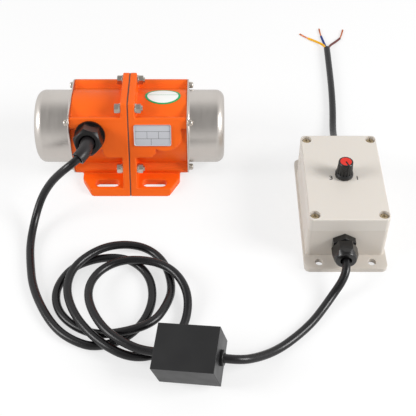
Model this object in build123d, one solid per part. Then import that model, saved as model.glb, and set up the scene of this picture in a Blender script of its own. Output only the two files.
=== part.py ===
from build123d import *
from dataclasses import dataclass
import math
import os

# Vibration motor with its capacitor box and speed controller, joined by one lead.
# Millimetres. The origin is the centre of the motor's four foot slots, on its mounting plane.
# +X runs along the shaft, +Y away from the side with the cable gland, +Z up.

# ---------------------------------------------------------------- fits
seat_gap = 0.05              # all round a piece that is pressed or bolted into its seat
running_gap = 0.05           # radial, between a settable weight or the knob's spindle and its bearing
bolt_gap = 0.3               # radial, round a bolt in its clearance hole

# ---------------------------------------------------------------- motor housing
shaft_height = 39.0
gasket_thickness = 0.8
housing_half_length = 53.5   # from the joint's middle to the end face
barrel_radius = 35.5
bore_radius = 31.0
rib_width = 11.0
rib_reach = 44.5
rib_root_radius = 1.5
rib_angles = (45, 135, 225, 315)
flange_half_thickness = 6.5
flange_height = 85.0
flange_top_half_width = 23.1
flange_corner_radius = 1.5
base_half_width = 55.8       # across the shaft, at the floor
base_half_length = 46.0      # along the shaft
base_thickness = 7.0
base_chamfer_y = 38.0        # where the feet start to narrow
base_tip_half_length = 36.5  # half-length of a foot at its outer edge
base_corner_radius = 2.0
slot_width = 9.0
slot_length = 22.8
slot_x = 22.3
slot_y = 44.8

# front pads, in the plane of the flange's sloping front edge
pad_depth = 11.0
pad_top_z = 71.5
pad_bottom_z = 36.3
pad_tongue_x = 20.5
pad_shoulder_x = 24.5
pad_shoulder_z = 40.0
boss_x = 33.0
boss_z = 57.0
boss_radius = 16.0

# bearing walls
wall_inner_x = 36.0
wall_outer_x = 41.0
bearing_hub_radius = 23.5
wall_hole_radius = 13.0

# ---------------------------------------------------------------- bearings and their circlips
bearing_bore_radius = 7.5
bearing_outer_radius = 17.5
bearing_width = 11.0
bearing_inner_x = 39.5
ball_radius = 2.95
ball_pitch_radius = 12.5
ball_count = 8
race_gap = 0.1
race_split = 1.4             # half the radial gap between the two rings
circlip_thickness = 1.2
circlip_depth = 1.2
circlip_clearance = 0.1

# ---------------------------------------------------------------- stator and rotor
stator_half_length = 20.0
stator_bore_radius = 17.0
slot_count = 12
winding_slot_inner = 19.0
winding_slot_outer = 27.0
winding_slot_width = 5.5
winding_mouth_width = 2.0
winding_gap = 0.2
end_turn_length = 13.0
end_turn_rounding = 2.5
air_gap = 0.4
rotor_bar_radius = 1.6
rotor_bar_pitch_radius = 13.6
rotor_bar_count = 12
cage_ring_inner = 11.4
cage_ring_length = 4.0

# ---------------------------------------------------------------- shaft and weights
shaft_core_radius = 9.0
shaft_weight_radius = 7.0
shaft_half_length = 83.0
shaft_chamfer = 0.8
weight_radius = 30.0
weight_thickness = 11.0
weight_gap = 0.4             # along the shaft, between a fixed and a settable weight
weight_start_x = 56.0
weight_hub_radius = 13.0
weight_ear_half_width = 9.0
weight_ear_top = 20.0
weight_slit = 2.0
clamp_bolt_radius = 2.5
clamp_bolt_z = 14.5
clamp_head_radius = 4.25
clamp_head_height = 5.0
clamp_socket_af = 4.0
key_width = 4.0
key_height = 4.0
key_depth = 2.4

# ---------------------------------------------------------------- end covers
cover_wall = 1.2
cover_radius = 34.4
cover_end_x = 88.0
cover_end_radius = 8.0
cover_root_radius = 1.4
cover_lip = 2.0
cover_plate_half = 35.5
cover_plate_corner = 14.0
cover_screw_y = 27.5

# M3 pan heads
cover_screw_radius = 1.5
cover_head_radius = 3.0
cover_head_height = 2.8
cover_screw_grip = 9.0
cross_recess_width = 0.9
cross_recess_length = 4.0
cross_recess_depth = 1.3
spring_washer_thickness = 1.2
spring_washer_slit = 0.8

# ---------------------------------------------------------------- flange bolts, M5
flange_bolt_radius = 2.5
flange_bolt_af = 8.0
flange_head_height = 4.2
flange_nut_height = 4.2
flange_washer_thickness = 1.4
flange_washer_radius = 4.6
bolt_end_length = 1.5
flange_bolts_at = ((20.7, 78.0), (-20.7, 78.0), (40.7, 22.0), (-40.7, 22.0))

# ---------------------------------------------------------------- plates and labels
label_thickness = 0.4
nameplate_length = 34.0
nameplate_height = 20.0
nameplate_x = 22.2
nameplate_z = 57.3
nameplate_corner = 1.5
oval_length = 33.0
oval_width = 21.0
oval_x = 31.0
oval_y = 1.2                 # towards the back

# ---------------------------------------------------------------- motor's cable gland and sleeve
motor_gland_x = -35.0
motor_gland_af = 23.4
motor_gland_rim = 14.0
motor_gland_rim_height = 2.5
motor_gland_flange = 6.0     # top of the body's hexagon
motor_gland_collar = 14.5    # top of the threaded collar
motor_gland_waist = 17.8     # where the nut's flats run out
motor_gland_reach = 20.5     # from the pad to the nut's mouth
motor_gland_lip = 10.8
motor_gland_mouth = 7.8
motor_gland_thread = 9.8
motor_gland_shank = 6.5
motor_gland_turn = -15.0     # of the hexagons about the gland's axis
sleeve_radius = 6.2

# both glands
gland_nut_gap = 0.8          # between the body's hexagon and the nut
gland_nut_edge = 0.5
gland_shoulder_round = 2.0
gland_lip_round = 1.2
thread_runout = 1.0          # spare depth past the end of a thread

# ---------------------------------------------------------------- leads
lead_diameter = 7.2
supply_diameter = 6.9
core_diameter = 2.6
copper_diameter = 1.6
sheath_gap = 0.3             # between the lead and the sleeve round it
bend_share = 0.45            # of the shorter run, taken up by an arc at each end
lead_inset = 1.0             # how far a lead starts inside its gland or wall
sleeve_last = 2              # the sleeve ends on the run after this point of the lead
sleeve_share = 0.95          # how far along that run

# straight first run of each lead, out of its gland or wall
motor_lead_straight = 1.5
link_straight = 13.0
tail_straight = 12.0
output_straight = 4.0
output_sag = 0.6
supply_straight = 10.0

# loose coil: centre x, centre y, half-width and half-depth of each turn
coil_turns = ((-15.0, -178.0, 42.0, 45.0), (-2.0, -184.0, 44.0, 58.0), (14.5, -194.5, 41.5, 47.0))
coil_height = 17.0

# ---------------------------------------------------------------- capacitor box
capacitor_length = 49.8
capacitor_width = 37.6
capacitor_height = 30.0
capacitor_wall = 2.0
capacitor_edge = 0.4
capacitor_place = (58.5, -248.6)
capacitor_tilt = (15.0, -8.8, -10.9)   # turned about X, then Y, then Z
capacitor_clearance = 0.6    # between the box and the loose turns
capacitor_headroom = 2.0     # over the capacitor in its box
grommet_radius = 6.4
grommet_proud = 2.4
grommet_round = 0.8
link_exit_drop = 2.5         # how far the link lead leaves below the box's middle
grommet_neck = 4.6

# ---------------------------------------------------------------- controller case
case_x = 192.8
case_y = -79.0
case_width = 69.2
case_length = 106.5
case_height = 50.0
case_seam_z = 36.0
case_wall = 2.5
case_floor = 3.0
case_corner = 4.0
case_inner_corner = 1.0      # least corner radius inside the case
lid_edge_radius = 1.2
ear_plate_lip = 1.5          # beyond the case's sides
ear_length = 15.65           # beyond the case's ends
ear_plate_thickness = 4.5
ear_plate_corner = 5.0
ear_hole_radius = 3.5
ear_hole_inset_x = 13.15     # from the plate's sides
ear_hole_inset_y = 7.7       # from the plate's ends
column_inset_x = 5.3         # of the lid screws, from the case's sides
column_inset_y = 5.9
column_radius = 5.0
counterbore_radius = 4.6
counterbore_depth = 4.2
lid_screw_radius = 1.5
lid_screw_head_radius = 3.4
lid_screw_head_height = 2.4
lid_screw_grip = 19.0
seal_width = 1.2
seal_height = 0.9
seal_inset = 0.65

# board
board_gap_x = 7.0            # from the case's sides
board_gap_y = 12.35          # from the case's ends
board_thickness = 1.6
board_corner = 1.0
board_z = 9.0
standoff_radius = 3.0
standoff_inset = 4.0
terminal_size = (30.0, 9.0, 11.0)
terminal_inset = 6.0         # from the board's end to the block's middle
terminal_screw_radius = 1.6
terminal_pitch = 7.0
heat_sink_size = (24.0, 12.0, 20.0)
heat_sink_place = (-10.0, 12.0)
heat_sink_fins = 4
heat_sink_back = 3.0         # thickness behind the fins
fin_gap = 3.6

# knob and potentiometer
knob_radius = 8.0
knob_neck_radius = 7.0
knob_top_radius = 6.4
knob_height = 16.4
knob_lift = 0.7              # gap under the skirt
knob_skirt_height = 2.9
knob_neck_height = 4.5
knob_cap_radius = 5.0
knob_cap_thickness = 1.0
knob_edge = 0.5
knob_flutes = 16
flute_radius = 0.65
flute_pitch_radius = 6.95
pointer_width = 1.4
pointer_angle = -70.0        # about +Z from +X: a little to the right of straight towards the front
knob_socket_radius = 6.4
knob_socket_depth = 4.2
pot_radius = 8.0
pot_height = 8.5
pot_bush_radius = 3.5
pot_bush_top = 3.8           # above the lid
pot_bush_root = 1.0          # how far the bush is sunk in the body
pot_nut_af = 10.0
pot_nut_height = 2.0
spindle_radius = 3.0
spindle_top = 14.0           # above the lid
spindle_below = 6.0          # below the lid's outer face

# glands on the case
output_x = 190.0
output_z = 21.5
output_gland_af = 19.5
output_gland_rim = 9.5
output_gland_rim_height = 2.5
output_gland_flange = 6.0
output_gland_collar = 13.0
output_gland_waist = 15.0
output_gland_reach = 21.5
output_gland_lip = 8.8
output_gland_mouth = 5.0
output_gland_thread = 8.2
output_gland_turn = 30.0     # of the body's hexagon about the gland's axis
locknut_height = 4.5
supply_x = 195.0
supply_z = 22.0
bushing_radius = 6.4
bushing_proud = 5.0
bushing_neck = 5.2
bushing_round = 1.25

# ---------------------------------------------------------------- shared helpers
joint_x = gasket_thickness / 2
slope = math.atan2(base_half_width - flange_top_half_width, flange_height)
slope_normal = Vector(0, -math.cos(slope), math.sin(slope))
cover_face_x = housing_half_length + cover_wall
ear_plate_width = case_width + 2 * ear_plate_lip
ear_plate_length = case_length + 2 * ear_length
ear_hole_x = ear_plate_width / 2 - ear_hole_inset_x
ear_hole_y = ear_plate_length / 2 - ear_hole_inset_y
column_x = case_width / 2 - column_inset_x
column_y = case_length / 2 - column_inset_y
board_width = case_width - 2 * board_gap_x
board_length = case_length - 2 * board_gap_y


def turned(points):
    """A solid turned about the shaft from (x, radius) points."""
    face = Plane.XZ * make_face(Polyline(*points, close=True))
    return Pos(0, 0, shaft_height) * revolve(face, Axis.X)


def turned_up(points):
    """A solid turned about +Z from (radius, z) points."""
    face = Plane.XZ * make_face(Polyline(*points, close=True))
    return revolve(face, Axis.Z)


def rod_x(radius, start, end):
    """A round bar along the shaft."""
    return turned(((start, 0), (start, radius), (end, radius), (end, 0)))


def along_x(shape, side, x, y, z):
    """Turn a piece that points up so that it points along +X (side 1) or -X (side -1)."""
    return Location((x, y, z), (0, 90 * side, 0)) * shape


def both_ends(piece):
    """A piece and its mirror image at the other end of the motor."""
    return [piece, mirror(piece, about=Plane.YZ)]


def prism_x(sketch, start, end):
    """A (y, z) outline drawn out along X."""
    return extrude(Plane.YZ.offset(start) * sketch, end - start)


def slope_plane(x=0.0, z=0.0, proud=0.0):
    """Plane on the sloping front, above height z, facing out of the motor."""
    foot = Vector(x, z * math.tan(slope) - base_half_width, z)
    return Plane(origin=foot + slope_normal * proud, x_dir=(1, 0, 0), z_dir=slope_normal)


def on_slope(z):
    """Distance up the slope to height z."""
    return z / math.cos(slope)


def hexagon(across_flats):
    """Hexagon drawn about its centre."""
    return RegularPolygon(across_flats / 2, 6, major_radius=False)


def group(pieces):
    """Several separate solids as one node."""
    solids = []
    for piece in pieces:
        solids.extend(piece.solids())
    return Compound(children=solids)


# ---------------------------------------------------------------- cords
def bend_radii(points):
    """Largest arc that each corner's two runs allow."""
    radii = []
    for before, corner, after in zip(points, points[1:], points[2:]):
        into = Vector(*corner) - Vector(*before)
        out = Vector(*after) - Vector(*corner)
        half_turn = math.radians(into.get_angle(out)) / 2
        radii.append(bend_share * min(into.length, out.length) / math.tan(half_turn))
    return radii


def tube(points, radii, radius):
    """A round bar along straight runs joined by arcs."""
    path = FilletPolyline(*points, radius=radii)
    return sweep(Plane(origin=path @ 0, z_dir=path % 0) * Circle(radius), path)


def cord(name, points, diameter):
    """A cord's solid, with its radii and volume printed."""
    radii = bend_radii(points)
    solid = tube(points, radii, diameter / 2)
    length = FilletPolyline(*points, radius=radii).length
    section = math.pi * diameter ** 2 / 4
    print(name, "length", round(length, 1), "volume ratio", round(solid.volume / section / length, 4))
    print("   radii in diameters", [round(r / diameter, 1) for r in radii])
    return solid


def along(start, direction, distance):
    """Point at a distance from start along a unit direction."""
    return tuple(Vector(*start) + Vector(*direction) * distance)


# ---------------------------------------------------------------- motor housing
def barrel_section():
    """Round barrel with four round-nosed ribs, about the shaft."""
    nose = rib_reach - rib_width / 2
    section = Sketch() + Circle(barrel_radius)
    for angle in rib_angles:
        rib = Pos(nose / 2, 0) * Rectangle(nose, rib_width) + Pos(nose, 0) * Circle(rib_width / 2)
        section += Rot(0, 0, angle) * rib
    roots = [v for v in section.vertices() if abs(Vector(v.X, v.Y, 0).length - barrel_radius) < seat_gap]
    return fillet(roots, rib_root_radius)


def flange_outline(inset=0.0):
    """Outline of the joint flange, narrow at the top and as wide as the feet at the floor."""
    top = flange_top_half_width - inset
    foot = base_half_width - inset
    high = flange_height - inset
    corners = ((-foot, 0), (foot, 0), (top, high), (-top, high))
    outline = make_face(Polyline(*corners, close=True))
    tops = outline.vertices().group_by(Axis.Y)[-1]
    return fillet(tops, flange_corner_radius)


def base_plate():
    """Half of the base plate, its feet cut to the flange's slope, with two slots."""
    corners = (
        (joint_x, -base_half_width),
        (base_tip_half_length, -base_half_width),
        (base_half_length, -base_chamfer_y),
        (base_half_length, base_chamfer_y),
        (base_tip_half_length, base_half_width),
        (joint_x, base_half_width),
    )
    plan = make_face(Polyline(*corners, close=True))
    outer = [v for v in plan.vertices() if v.X > base_tip_half_length - seat_gap]
    plate = extrude(fillet(outer, base_corner_radius), base_thickness)
    plate &= prism_x(flange_outline(), joint_x, base_half_length)
    for y in (-slot_y, slot_y):
        slot = Pos(slot_x, y) * SlotOverall(slot_length, slot_width)
        plate -= extrude(slot, base_thickness)
    return plate


def front_pad():
    """Flat pad with a round boss, level with the flange's sloping edge."""
    corners = (
        (joint_x, on_slope(pad_bottom_z)),
        (pad_tongue_x, on_slope(pad_bottom_z)),
        (pad_shoulder_x, on_slope(pad_shoulder_z)),
        (pad_shoulder_x, on_slope(boss_z)),
        (boss_x, on_slope(boss_z)),
        (boss_x, on_slope(pad_top_z)),
        (joint_x, on_slope(pad_top_z)),
    )
    face = make_face(Polyline(*corners, close=True))
    face += Pos(boss_x, on_slope(boss_z)) * Circle(boss_radius)
    return extrude(slope_plane() * face, -pad_depth)


def slope_trim():
    """What the sloping front plane takes off the upper rib beside the pad."""
    length = housing_half_length
    height = on_slope(flange_height)
    face = Pos(length / 2, height / 2) * Rectangle(length, height)
    return extrude(slope_plane() * face, rib_width)


def bearing_wall_cuts():
    """Spaces inside one half: the stator's bore, the bearing's seat and the lightening ring."""
    outer_x = housing_half_length
    bearing_end = bearing_inner_x + bearing_width
    groove_end = bearing_end + circlip_thickness + circlip_clearance
    inside = turned((
        (joint_x, 0),
        (joint_x, bore_radius),
        (wall_inner_x, bore_radius),
        (wall_inner_x, wall_hole_radius),
        (bearing_inner_x, wall_hole_radius),
        (bearing_inner_x, bearing_outer_radius),
        (bearing_end, bearing_outer_radius),
        (bearing_end, bearing_outer_radius + circlip_depth),
        (groove_end, bearing_outer_radius + circlip_depth),
        (groove_end, bearing_outer_radius),
        (outer_x, bearing_outer_radius),
        (outer_x, 0),
    ))
    ring = turned((
        (wall_outer_x, bearing_hub_radius),
        (wall_outer_x, bore_radius),
        (outer_x, bore_radius),
        (outer_x, bearing_hub_radius),
    ))
    return inside, ring


def cover_screw_spots():
    """The four corners that carry an end cover's screws, as (y, z)."""
    ends = (-cover_screw_y, cover_screw_y)
    return [(y, shaft_height + z) for y in ends for z in ends]


def housing_half():
    """The right-hand casting, without a cable hole."""
    section = Pos(0, shaft_height) * barrel_section()
    casting = prism_x(section, joint_x, housing_half_length)
    casting += prism_x(flange_outline(), joint_x, flange_half_thickness)
    casting += base_plate()
    casting += front_pad()
    casting -= slope_trim()
    for cut in bearing_wall_cuts():
        casting -= cut
    for y, z in flange_bolts_at:
        hole = Pos(y, z) * Circle(flange_bolt_radius + bolt_gap)
        casting -= prism_x(hole, joint_x, flange_half_thickness)
    for y, z in cover_screw_spots():
        hole = Pos(y, z) * Circle(cover_screw_radius + seat_gap)
        casting -= prism_x(hole, housing_half_length - cover_screw_grip, housing_half_length)
    return casting


def left_housing():
    """The left-hand casting, with the gland's hole through its boss."""
    casting = mirror(housing_half(), about=Plane.YZ)
    hole = Circle(motor_gland_thread + seat_gap)
    return casting - extrude(slope_plane(motor_gland_x, boss_z) * hole, -pad_depth - motor_gland_shank)


def housing_gasket():
    """Thin gasket between the two castings."""
    outline = flange_outline(bolt_gap) - Pos(0, shaft_height) * Circle(bore_radius)
    for y, z in flange_bolts_at:
        outline -= Pos(y, z) * Circle(flange_bolt_radius + bolt_gap)
    return prism_x(outline, -joint_x, joint_x)


# ---------------------------------------------------------------- fasteners
def spring_washer(hole, radius, thickness):
    """Split ring standing on z = 0."""
    ring = extrude(Circle(radius) - Circle(hole), thickness)
    slit = Pos(radius, 0, thickness / 2) * Box(2 * radius, spring_washer_slit, thickness)
    return ring - slit


def pan_screw(radius, head_radius, head_height, grip):
    """Cross-recessed pan head above z = 0 and its shank below."""
    head = extrude(Circle(head_radius), head_height)
    head = fillet(head.edges().group_by(Axis.Z)[-1], head_height / 2)
    arms = Box(cross_recess_length, cross_recess_width, cross_recess_depth)
    arms += Box(cross_recess_width, cross_recess_length, cross_recess_depth)
    head -= Pos(0, 0, head_height - cross_recess_depth / 2) * arms
    return head + extrude(Circle(radius), -grip)


def hex_head(across_flats, height):
    """Hexagon standing on z = 0 with its upper corners turned off."""
    corner = across_flats / math.sqrt(3)
    chamfer = corner - across_flats / 2
    cone = turned_up((
        (0, 0), (corner, 0), (corner, height - chamfer / 2), (across_flats / 2, height), (0, height),
    ))
    return extrude(hexagon(across_flats), height) & cone


def cover_screws():
    """Eight pan heads that hold the two end covers."""
    grip = cover_screw_grip + cover_wall + spring_washer_thickness - bolt_gap
    screw = pan_screw(cover_screw_radius, cover_head_radius, cover_head_height, grip)
    seat_x = cover_face_x + spring_washer_thickness
    pieces = [along_x(screw, 1, seat_x, y, z) for y, z in cover_screw_spots()]
    pieces += [along_x(screw, -1, -seat_x, y, z) for y, z in cover_screw_spots()]
    return group(pieces)


def flange_bolts():
    """Four hexagon bolts through the joint flange, heads on the left."""
    seat_x = flange_half_thickness + flange_washer_thickness
    length = 2 * seat_x + flange_nut_height + bolt_end_length
    bolt = hex_head(flange_bolt_af, flange_head_height)
    bolt += extrude(Circle(flange_bolt_radius), -length)
    return group([along_x(bolt, -1, -seat_x, y, z) for y, z in flange_bolts_at])


def flange_nuts():
    """Nuts on the right-hand side of the flange."""
    seat_x = flange_half_thickness + flange_washer_thickness
    nut = hex_head(flange_bolt_af, flange_nut_height)
    nut -= extrude(Circle(flange_bolt_radius + seat_gap), flange_nut_height)
    return group([along_x(nut, 1, seat_x, y, z) for y, z in flange_bolts_at])


def spring_washers():
    """Spring washers under the cover screws, the flange bolts' heads and their nuts."""
    small = spring_washer(cover_screw_radius + bolt_gap, cover_head_radius, spring_washer_thickness)
    large = spring_washer(flange_bolt_radius + bolt_gap, flange_washer_radius, flange_washer_thickness)
    pieces = []
    for side in (1, -1):
        for y, z in cover_screw_spots():
            pieces.append(along_x(small, side, side * cover_face_x, y, z))
        for y, z in flange_bolts_at:
            pieces.append(along_x(large, side, side * flange_half_thickness, y, z))
    return group(pieces)


# ---------------------------------------------------------------- end covers
def end_cover():
    """Drawn steel cup with a square flange."""
    face_x = housing_half_length
    inner_radius = cover_radius - cover_wall
    points = (
        (face_x, cover_radius + cover_lip),
        (cover_face_x, cover_radius + cover_lip),
        (cover_face_x, cover_radius),
        (cover_end_x, cover_radius),
        (cover_end_x, 0),
        (cover_end_x - cover_wall, 0),
        (cover_end_x - cover_wall, inner_radius),
        (face_x, inner_radius),
    )
    radii = (0, 0, cover_root_radius, cover_end_radius, 0, 0, cover_end_radius - cover_wall, 0)
    wall = Plane.XZ * make_face(FilletPolyline(*points, radius=radii, close=True))
    cup = Pos(0, 0, shaft_height) * revolve(wall, Axis.X)
    side = 2 * cover_plate_half
    plate = RectangleRounded(side, side, cover_plate_corner) - Circle(cover_radius + cover_lip / 2)
    for y, z in cover_screw_spots():
        plate -= Pos(y, z - shaft_height) * Circle(cover_screw_radius + bolt_gap)
    return cup + prism_x(Pos(0, shaft_height) * plate, face_x, cover_face_x)


# ---------------------------------------------------------------- stator
def stator_core():
    """Laminated ring with half-closed slots."""
    section = Circle(bore_radius - seat_gap) - Circle(stator_bore_radius)
    slot_depth = winding_slot_outer - winding_slot_inner
    mouth = winding_slot_inner - stator_bore_radius + winding_mouth_width / 2
    for index in range(slot_count):
        turn = Rot(0, 0, 360 * index / slot_count)
        middle = winding_slot_inner + slot_depth / 2
        section -= turn * Pos(middle, 0) * Rectangle(slot_depth, winding_slot_width)
        section -= turn * Pos(winding_slot_inner - mouth / 2, 0) * Rectangle(mouth, winding_mouth_width)
    return prism_x(Pos(0, shaft_height) * section, -stator_half_length, stator_half_length)


def stator_windings():
    """Copper in the slots, joined by the end turns."""
    low = winding_slot_inner + winding_gap
    high = winding_slot_outer - winding_gap
    start = stator_half_length + winding_gap
    section = Sketch()
    for index in range(slot_count):
        bar = Pos((low + high) / 2, 0) * Rectangle(high - low, winding_slot_width - 2 * winding_gap)
        section += Rot(0, 0, 360 * index / slot_count) * bar
    windings = prism_x(Pos(0, shaft_height) * section, -start, start)
    points = ((start, low), (start, high), (start + end_turn_length, high), (start + end_turn_length, low))
    radii = (0, 0, end_turn_rounding, end_turn_rounding)
    loop = Plane.XZ * make_face(FilletPolyline(*points, radius=radii, close=True))
    end_turns = Pos(0, 0, shaft_height) * revolve(loop, Axis.X)
    for ring in both_ends(end_turns):
        windings += ring
    return windings


# ---------------------------------------------------------------- bearings
def race_points(inner_radius, outer_radius):
    """Section of one bearing ring, as (x, radius)."""
    start = bearing_inner_x
    end = bearing_inner_x + bearing_width
    return ((start, inner_radius), (start, outer_radius), (end, outer_radius), (end, inner_radius))


def ball_track():
    """Round track that the balls run in."""
    middle = bearing_inner_x + bearing_width / 2
    track = Plane.XZ * Pos(middle, ball_pitch_radius) * Circle(ball_radius + race_gap)
    return Pos(0, 0, shaft_height) * revolve(track, Axis.X)


def bearing_outer_rings():
    """Outer rings, pressed into the housing's walls."""
    ring = turned(race_points(ball_pitch_radius + race_split, bearing_outer_radius - seat_gap))
    return group(both_ends(ring - ball_track()))


def bearing_inner_rings():
    """Inner rings, pressed on the shaft."""
    ring = turned(race_points(bearing_bore_radius + seat_gap, ball_pitch_radius - race_split))
    return group(both_ends(ring - ball_track()))


def bearing_balls():
    """One ring of balls in each bearing."""
    middle = bearing_inner_x + bearing_width / 2
    balls = []
    for index in range(ball_count):
        angle = 2 * math.pi * (index + 0.5) / ball_count
        y = ball_pitch_radius * math.cos(angle)
        z = shaft_height + ball_pitch_radius * math.sin(angle)
        balls.append(Pos(middle, y, z) * Sphere(ball_radius))
        balls.append(Pos(-middle, y, z) * Sphere(ball_radius))
    return group(balls)


def circlip(inner_radius, outer_radius, start):
    """Open ring in a groove, its gap at the top."""
    ring = turned((
        (start, inner_radius),
        (start, outer_radius),
        (start + circlip_thickness, outer_radius),
        (start + circlip_thickness, inner_radius),
    ))
    middle = start + circlip_thickness / 2
    gap = Box(circlip_thickness, outer_radius / 2, outer_radius)
    gap = Pos(middle, 0, shaft_height + outer_radius) * gap
    return ring - gap


def bearing_circlips():
    """Rings in the housing that keep the bearings in."""
    start = bearing_inner_x + bearing_width + circlip_clearance / 2
    outer = bearing_outer_radius + circlip_depth - circlip_clearance
    return group(both_ends(circlip(bearing_outer_radius - circlip_depth, outer, start)))


# ---------------------------------------------------------------- rotor
settable_start_x = weight_start_x + weight_thickness + weight_gap
settable_end_x = settable_start_x + weight_thickness
shaft_groove_x = settable_end_x + circlip_clearance
bearing_end_x = bearing_inner_x + bearing_width


def shaft():
    """Stepped shaft with a groove and a keyway at each end."""
    groove_end = shaft_groove_x + circlip_thickness + circlip_clearance
    end = shaft_half_length
    half = turned((
        (0, 0),
        (0, shaft_core_radius),
        (bearing_inner_x, shaft_core_radius),
        (bearing_inner_x, bearing_bore_radius),
        (bearing_end_x, bearing_bore_radius),
        (bearing_end_x, shaft_weight_radius),
        (shaft_groove_x, shaft_weight_radius),
        (shaft_groove_x, shaft_weight_radius - circlip_depth / 2),
        (groove_end, shaft_weight_radius - circlip_depth / 2),
        (groove_end, shaft_weight_radius),
        (end - shaft_chamfer, shaft_weight_radius),
        (end, shaft_weight_radius - shaft_chamfer),
        (end, 0),
    ))
    half -= key(seat_gap)
    whole, other = both_ends(half)
    return whole + other


def key(clearance=0.0):
    """Key that drives the fixed weight, below the shaft."""
    middle = weight_start_x + weight_thickness / 2
    bottom = shaft_height - shaft_weight_radius + key_depth - key_height
    size = (weight_thickness + 2 * clearance, key_width + 2 * clearance, key_height + 2 * clearance)
    return Pos(middle, 0, bottom + key_height / 2) * Box(*size)


def rotor_bars(radius):
    """Ring of round bars, the cage's or the core's holes for them."""
    section = Sketch()
    for index in range(rotor_bar_count):
        spot = Rot(0, 0, 360 * index / rotor_bar_count) * Pos(rotor_bar_pitch_radius, 0)
        section += spot * Circle(radius)
    return Pos(0, shaft_height) * section


def rotor_core():
    """Laminated rotor, pressed on the shaft."""
    ring = Circle(stator_bore_radius - air_gap) - Circle(shaft_core_radius + seat_gap)
    core = Pos(0, shaft_height) * ring - rotor_bars(rotor_bar_radius)
    return prism_x(core, -stator_half_length, stator_half_length)


def rotor_cage():
    """Cast bars and their two end rings."""
    outer = stator_bore_radius - 2 * air_gap
    start = stator_half_length
    end_ring = Pos(0, shaft_height) * (Circle(outer) - Circle(cage_ring_inner))
    ring = prism_x(end_ring, start + seat_gap, start + cage_ring_length)
    whole, other = both_ends(ring)
    reach = start + cage_ring_length / 2
    return prism_x(rotor_bars(rotor_bar_radius - seat_gap), -reach, reach) + whole + other


def weight_spacers():
    """Sleeves between the bearings and the fixed weights."""
    start = bearing_end_x + seat_gap
    end = weight_start_x - seat_gap
    inner = shaft_weight_radius + seat_gap
    outer = ball_pitch_radius - race_split - seat_gap
    sleeve = turned(((start, inner), (start, outer), (end, outer), (end, inner)))
    return group(both_ends(sleeve))


def weight(start, bore):
    """Half-round eccentric weight with a clamp above its bore, hanging down."""
    lower = Pos(0, -weight_radius / 2) * Rectangle(2 * weight_radius, weight_radius)
    half_disc = Circle(weight_radius) & lower
    ears = Pos(0, weight_ear_top / 2) * Rectangle(2 * weight_ear_half_width, weight_ear_top)
    outline = half_disc + Circle(weight_hub_radius) + ears
    outline -= Pos(0, weight_ear_top / 2) * Rectangle(weight_slit, weight_ear_top)
    outline -= Circle(bore)
    plate = prism_x(Pos(0, shaft_height) * outline, start, start + weight_thickness)
    middle = start + weight_thickness / 2
    hole = Cylinder(clamp_bolt_radius + seat_gap, 2 * weight_ear_half_width, rotation=(90, 0, 0))
    return plate - Pos(middle, 0, shaft_height + clamp_bolt_z) * hole


def clamp_bolt(start):
    """Socket-head bolt across a weight's clamp."""
    head = extrude(Circle(clamp_head_radius) - hexagon(clamp_socket_af), clamp_head_height)
    seat = extrude(Circle(clamp_head_radius), clamp_head_height / 2)
    bolt = head + seat + extrude(Circle(clamp_bolt_radius), -2 * weight_ear_half_width)
    middle = start + weight_thickness / 2
    place = Location((middle, -weight_ear_half_width, shaft_height + clamp_bolt_z), (90, 0, 0))
    return place * bolt


def fixed_weights():
    """Weights keyed to the shaft."""
    piece = weight(weight_start_x, shaft_weight_radius + seat_gap) - key(seat_gap)
    return group(both_ends(piece))


def shaft_circlips():
    """Rings that keep the settable weights on the shaft."""
    start = shaft_groove_x + circlip_clearance / 2
    inner = shaft_weight_radius - circlip_depth / 2 + seat_gap
    return group(both_ends(circlip(inner, shaft_weight_radius + circlip_depth, start)))


# ---------------------------------------------------------------- plates and labels
def nameplate():
    """Plain plate on the right-hand pad."""
    outline = RectangleRounded(nameplate_length, nameplate_height, nameplate_corner)
    return extrude(slope_plane(nameplate_x, nameplate_z) * outline, label_thickness)


def oval_label():
    """Thin oval label that follows the top of the barrel."""
    oval = Pos(oval_x, oval_y, shaft_height) * Ellipse(oval_length / 2, oval_width / 2)
    shell = rod_x(barrel_radius + label_thickness, 0, housing_half_length)
    shell -= rod_x(barrel_radius, 0, housing_half_length)
    return shell & extrude(oval, rib_reach)


# ---------------------------------------------------------------- cable glands
@dataclass
class Gland:
    """Sizes of a cable gland, measured out from the wall that it is screwed into."""

    across_flats: float
    rim: float
    rim_height: float
    flange: float
    collar: float
    waist: float
    reach: float
    lip: float
    mouth: float
    thread: float
    shank: float
    bore: float
    body_turn: float
    nut_turn: float

    def body(self):
        """Rim and hexagon on z = 0, with a threaded collar above and the shank below."""
        body = extrude(Circle(self.rim), self.rim_height)
        body += extrude(Rot(0, 0, self.body_turn) * hexagon(self.across_flats), self.flange)
        body += extrude(Circle(self.thread - seat_gap), self.collar)
        body += extrude(Circle(self.thread), -self.shank)
        return body - Pos(0, 0, -self.shank) * extrude(Circle(self.bore), self.shank + self.collar)

    def nut(self):
        """Hexagon whose flats run out into a rounded lip round the cable."""
        corner = self.across_flats / math.sqrt(3)
        start = self.flange + gland_nut_gap
        end = self.reach
        points = ((0, start), (corner, start), (corner, self.waist), (self.lip, end), (0, end))
        radii = (0, gland_nut_edge, gland_shoulder_round, gland_lip_round, 0)
        dome = revolve(Plane.XZ * make_face(FilletPolyline(*points, radius=radii, close=True)), Axis.Z)
        flats = extrude(Rot(0, 0, self.nut_turn) * hexagon(self.across_flats), self.reach)
        nut = dome & flats
        nut -= extrude(Circle(self.thread + seat_gap), self.collar + seat_gap)
        return nut - extrude(Circle(self.mouth), self.reach)


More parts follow.
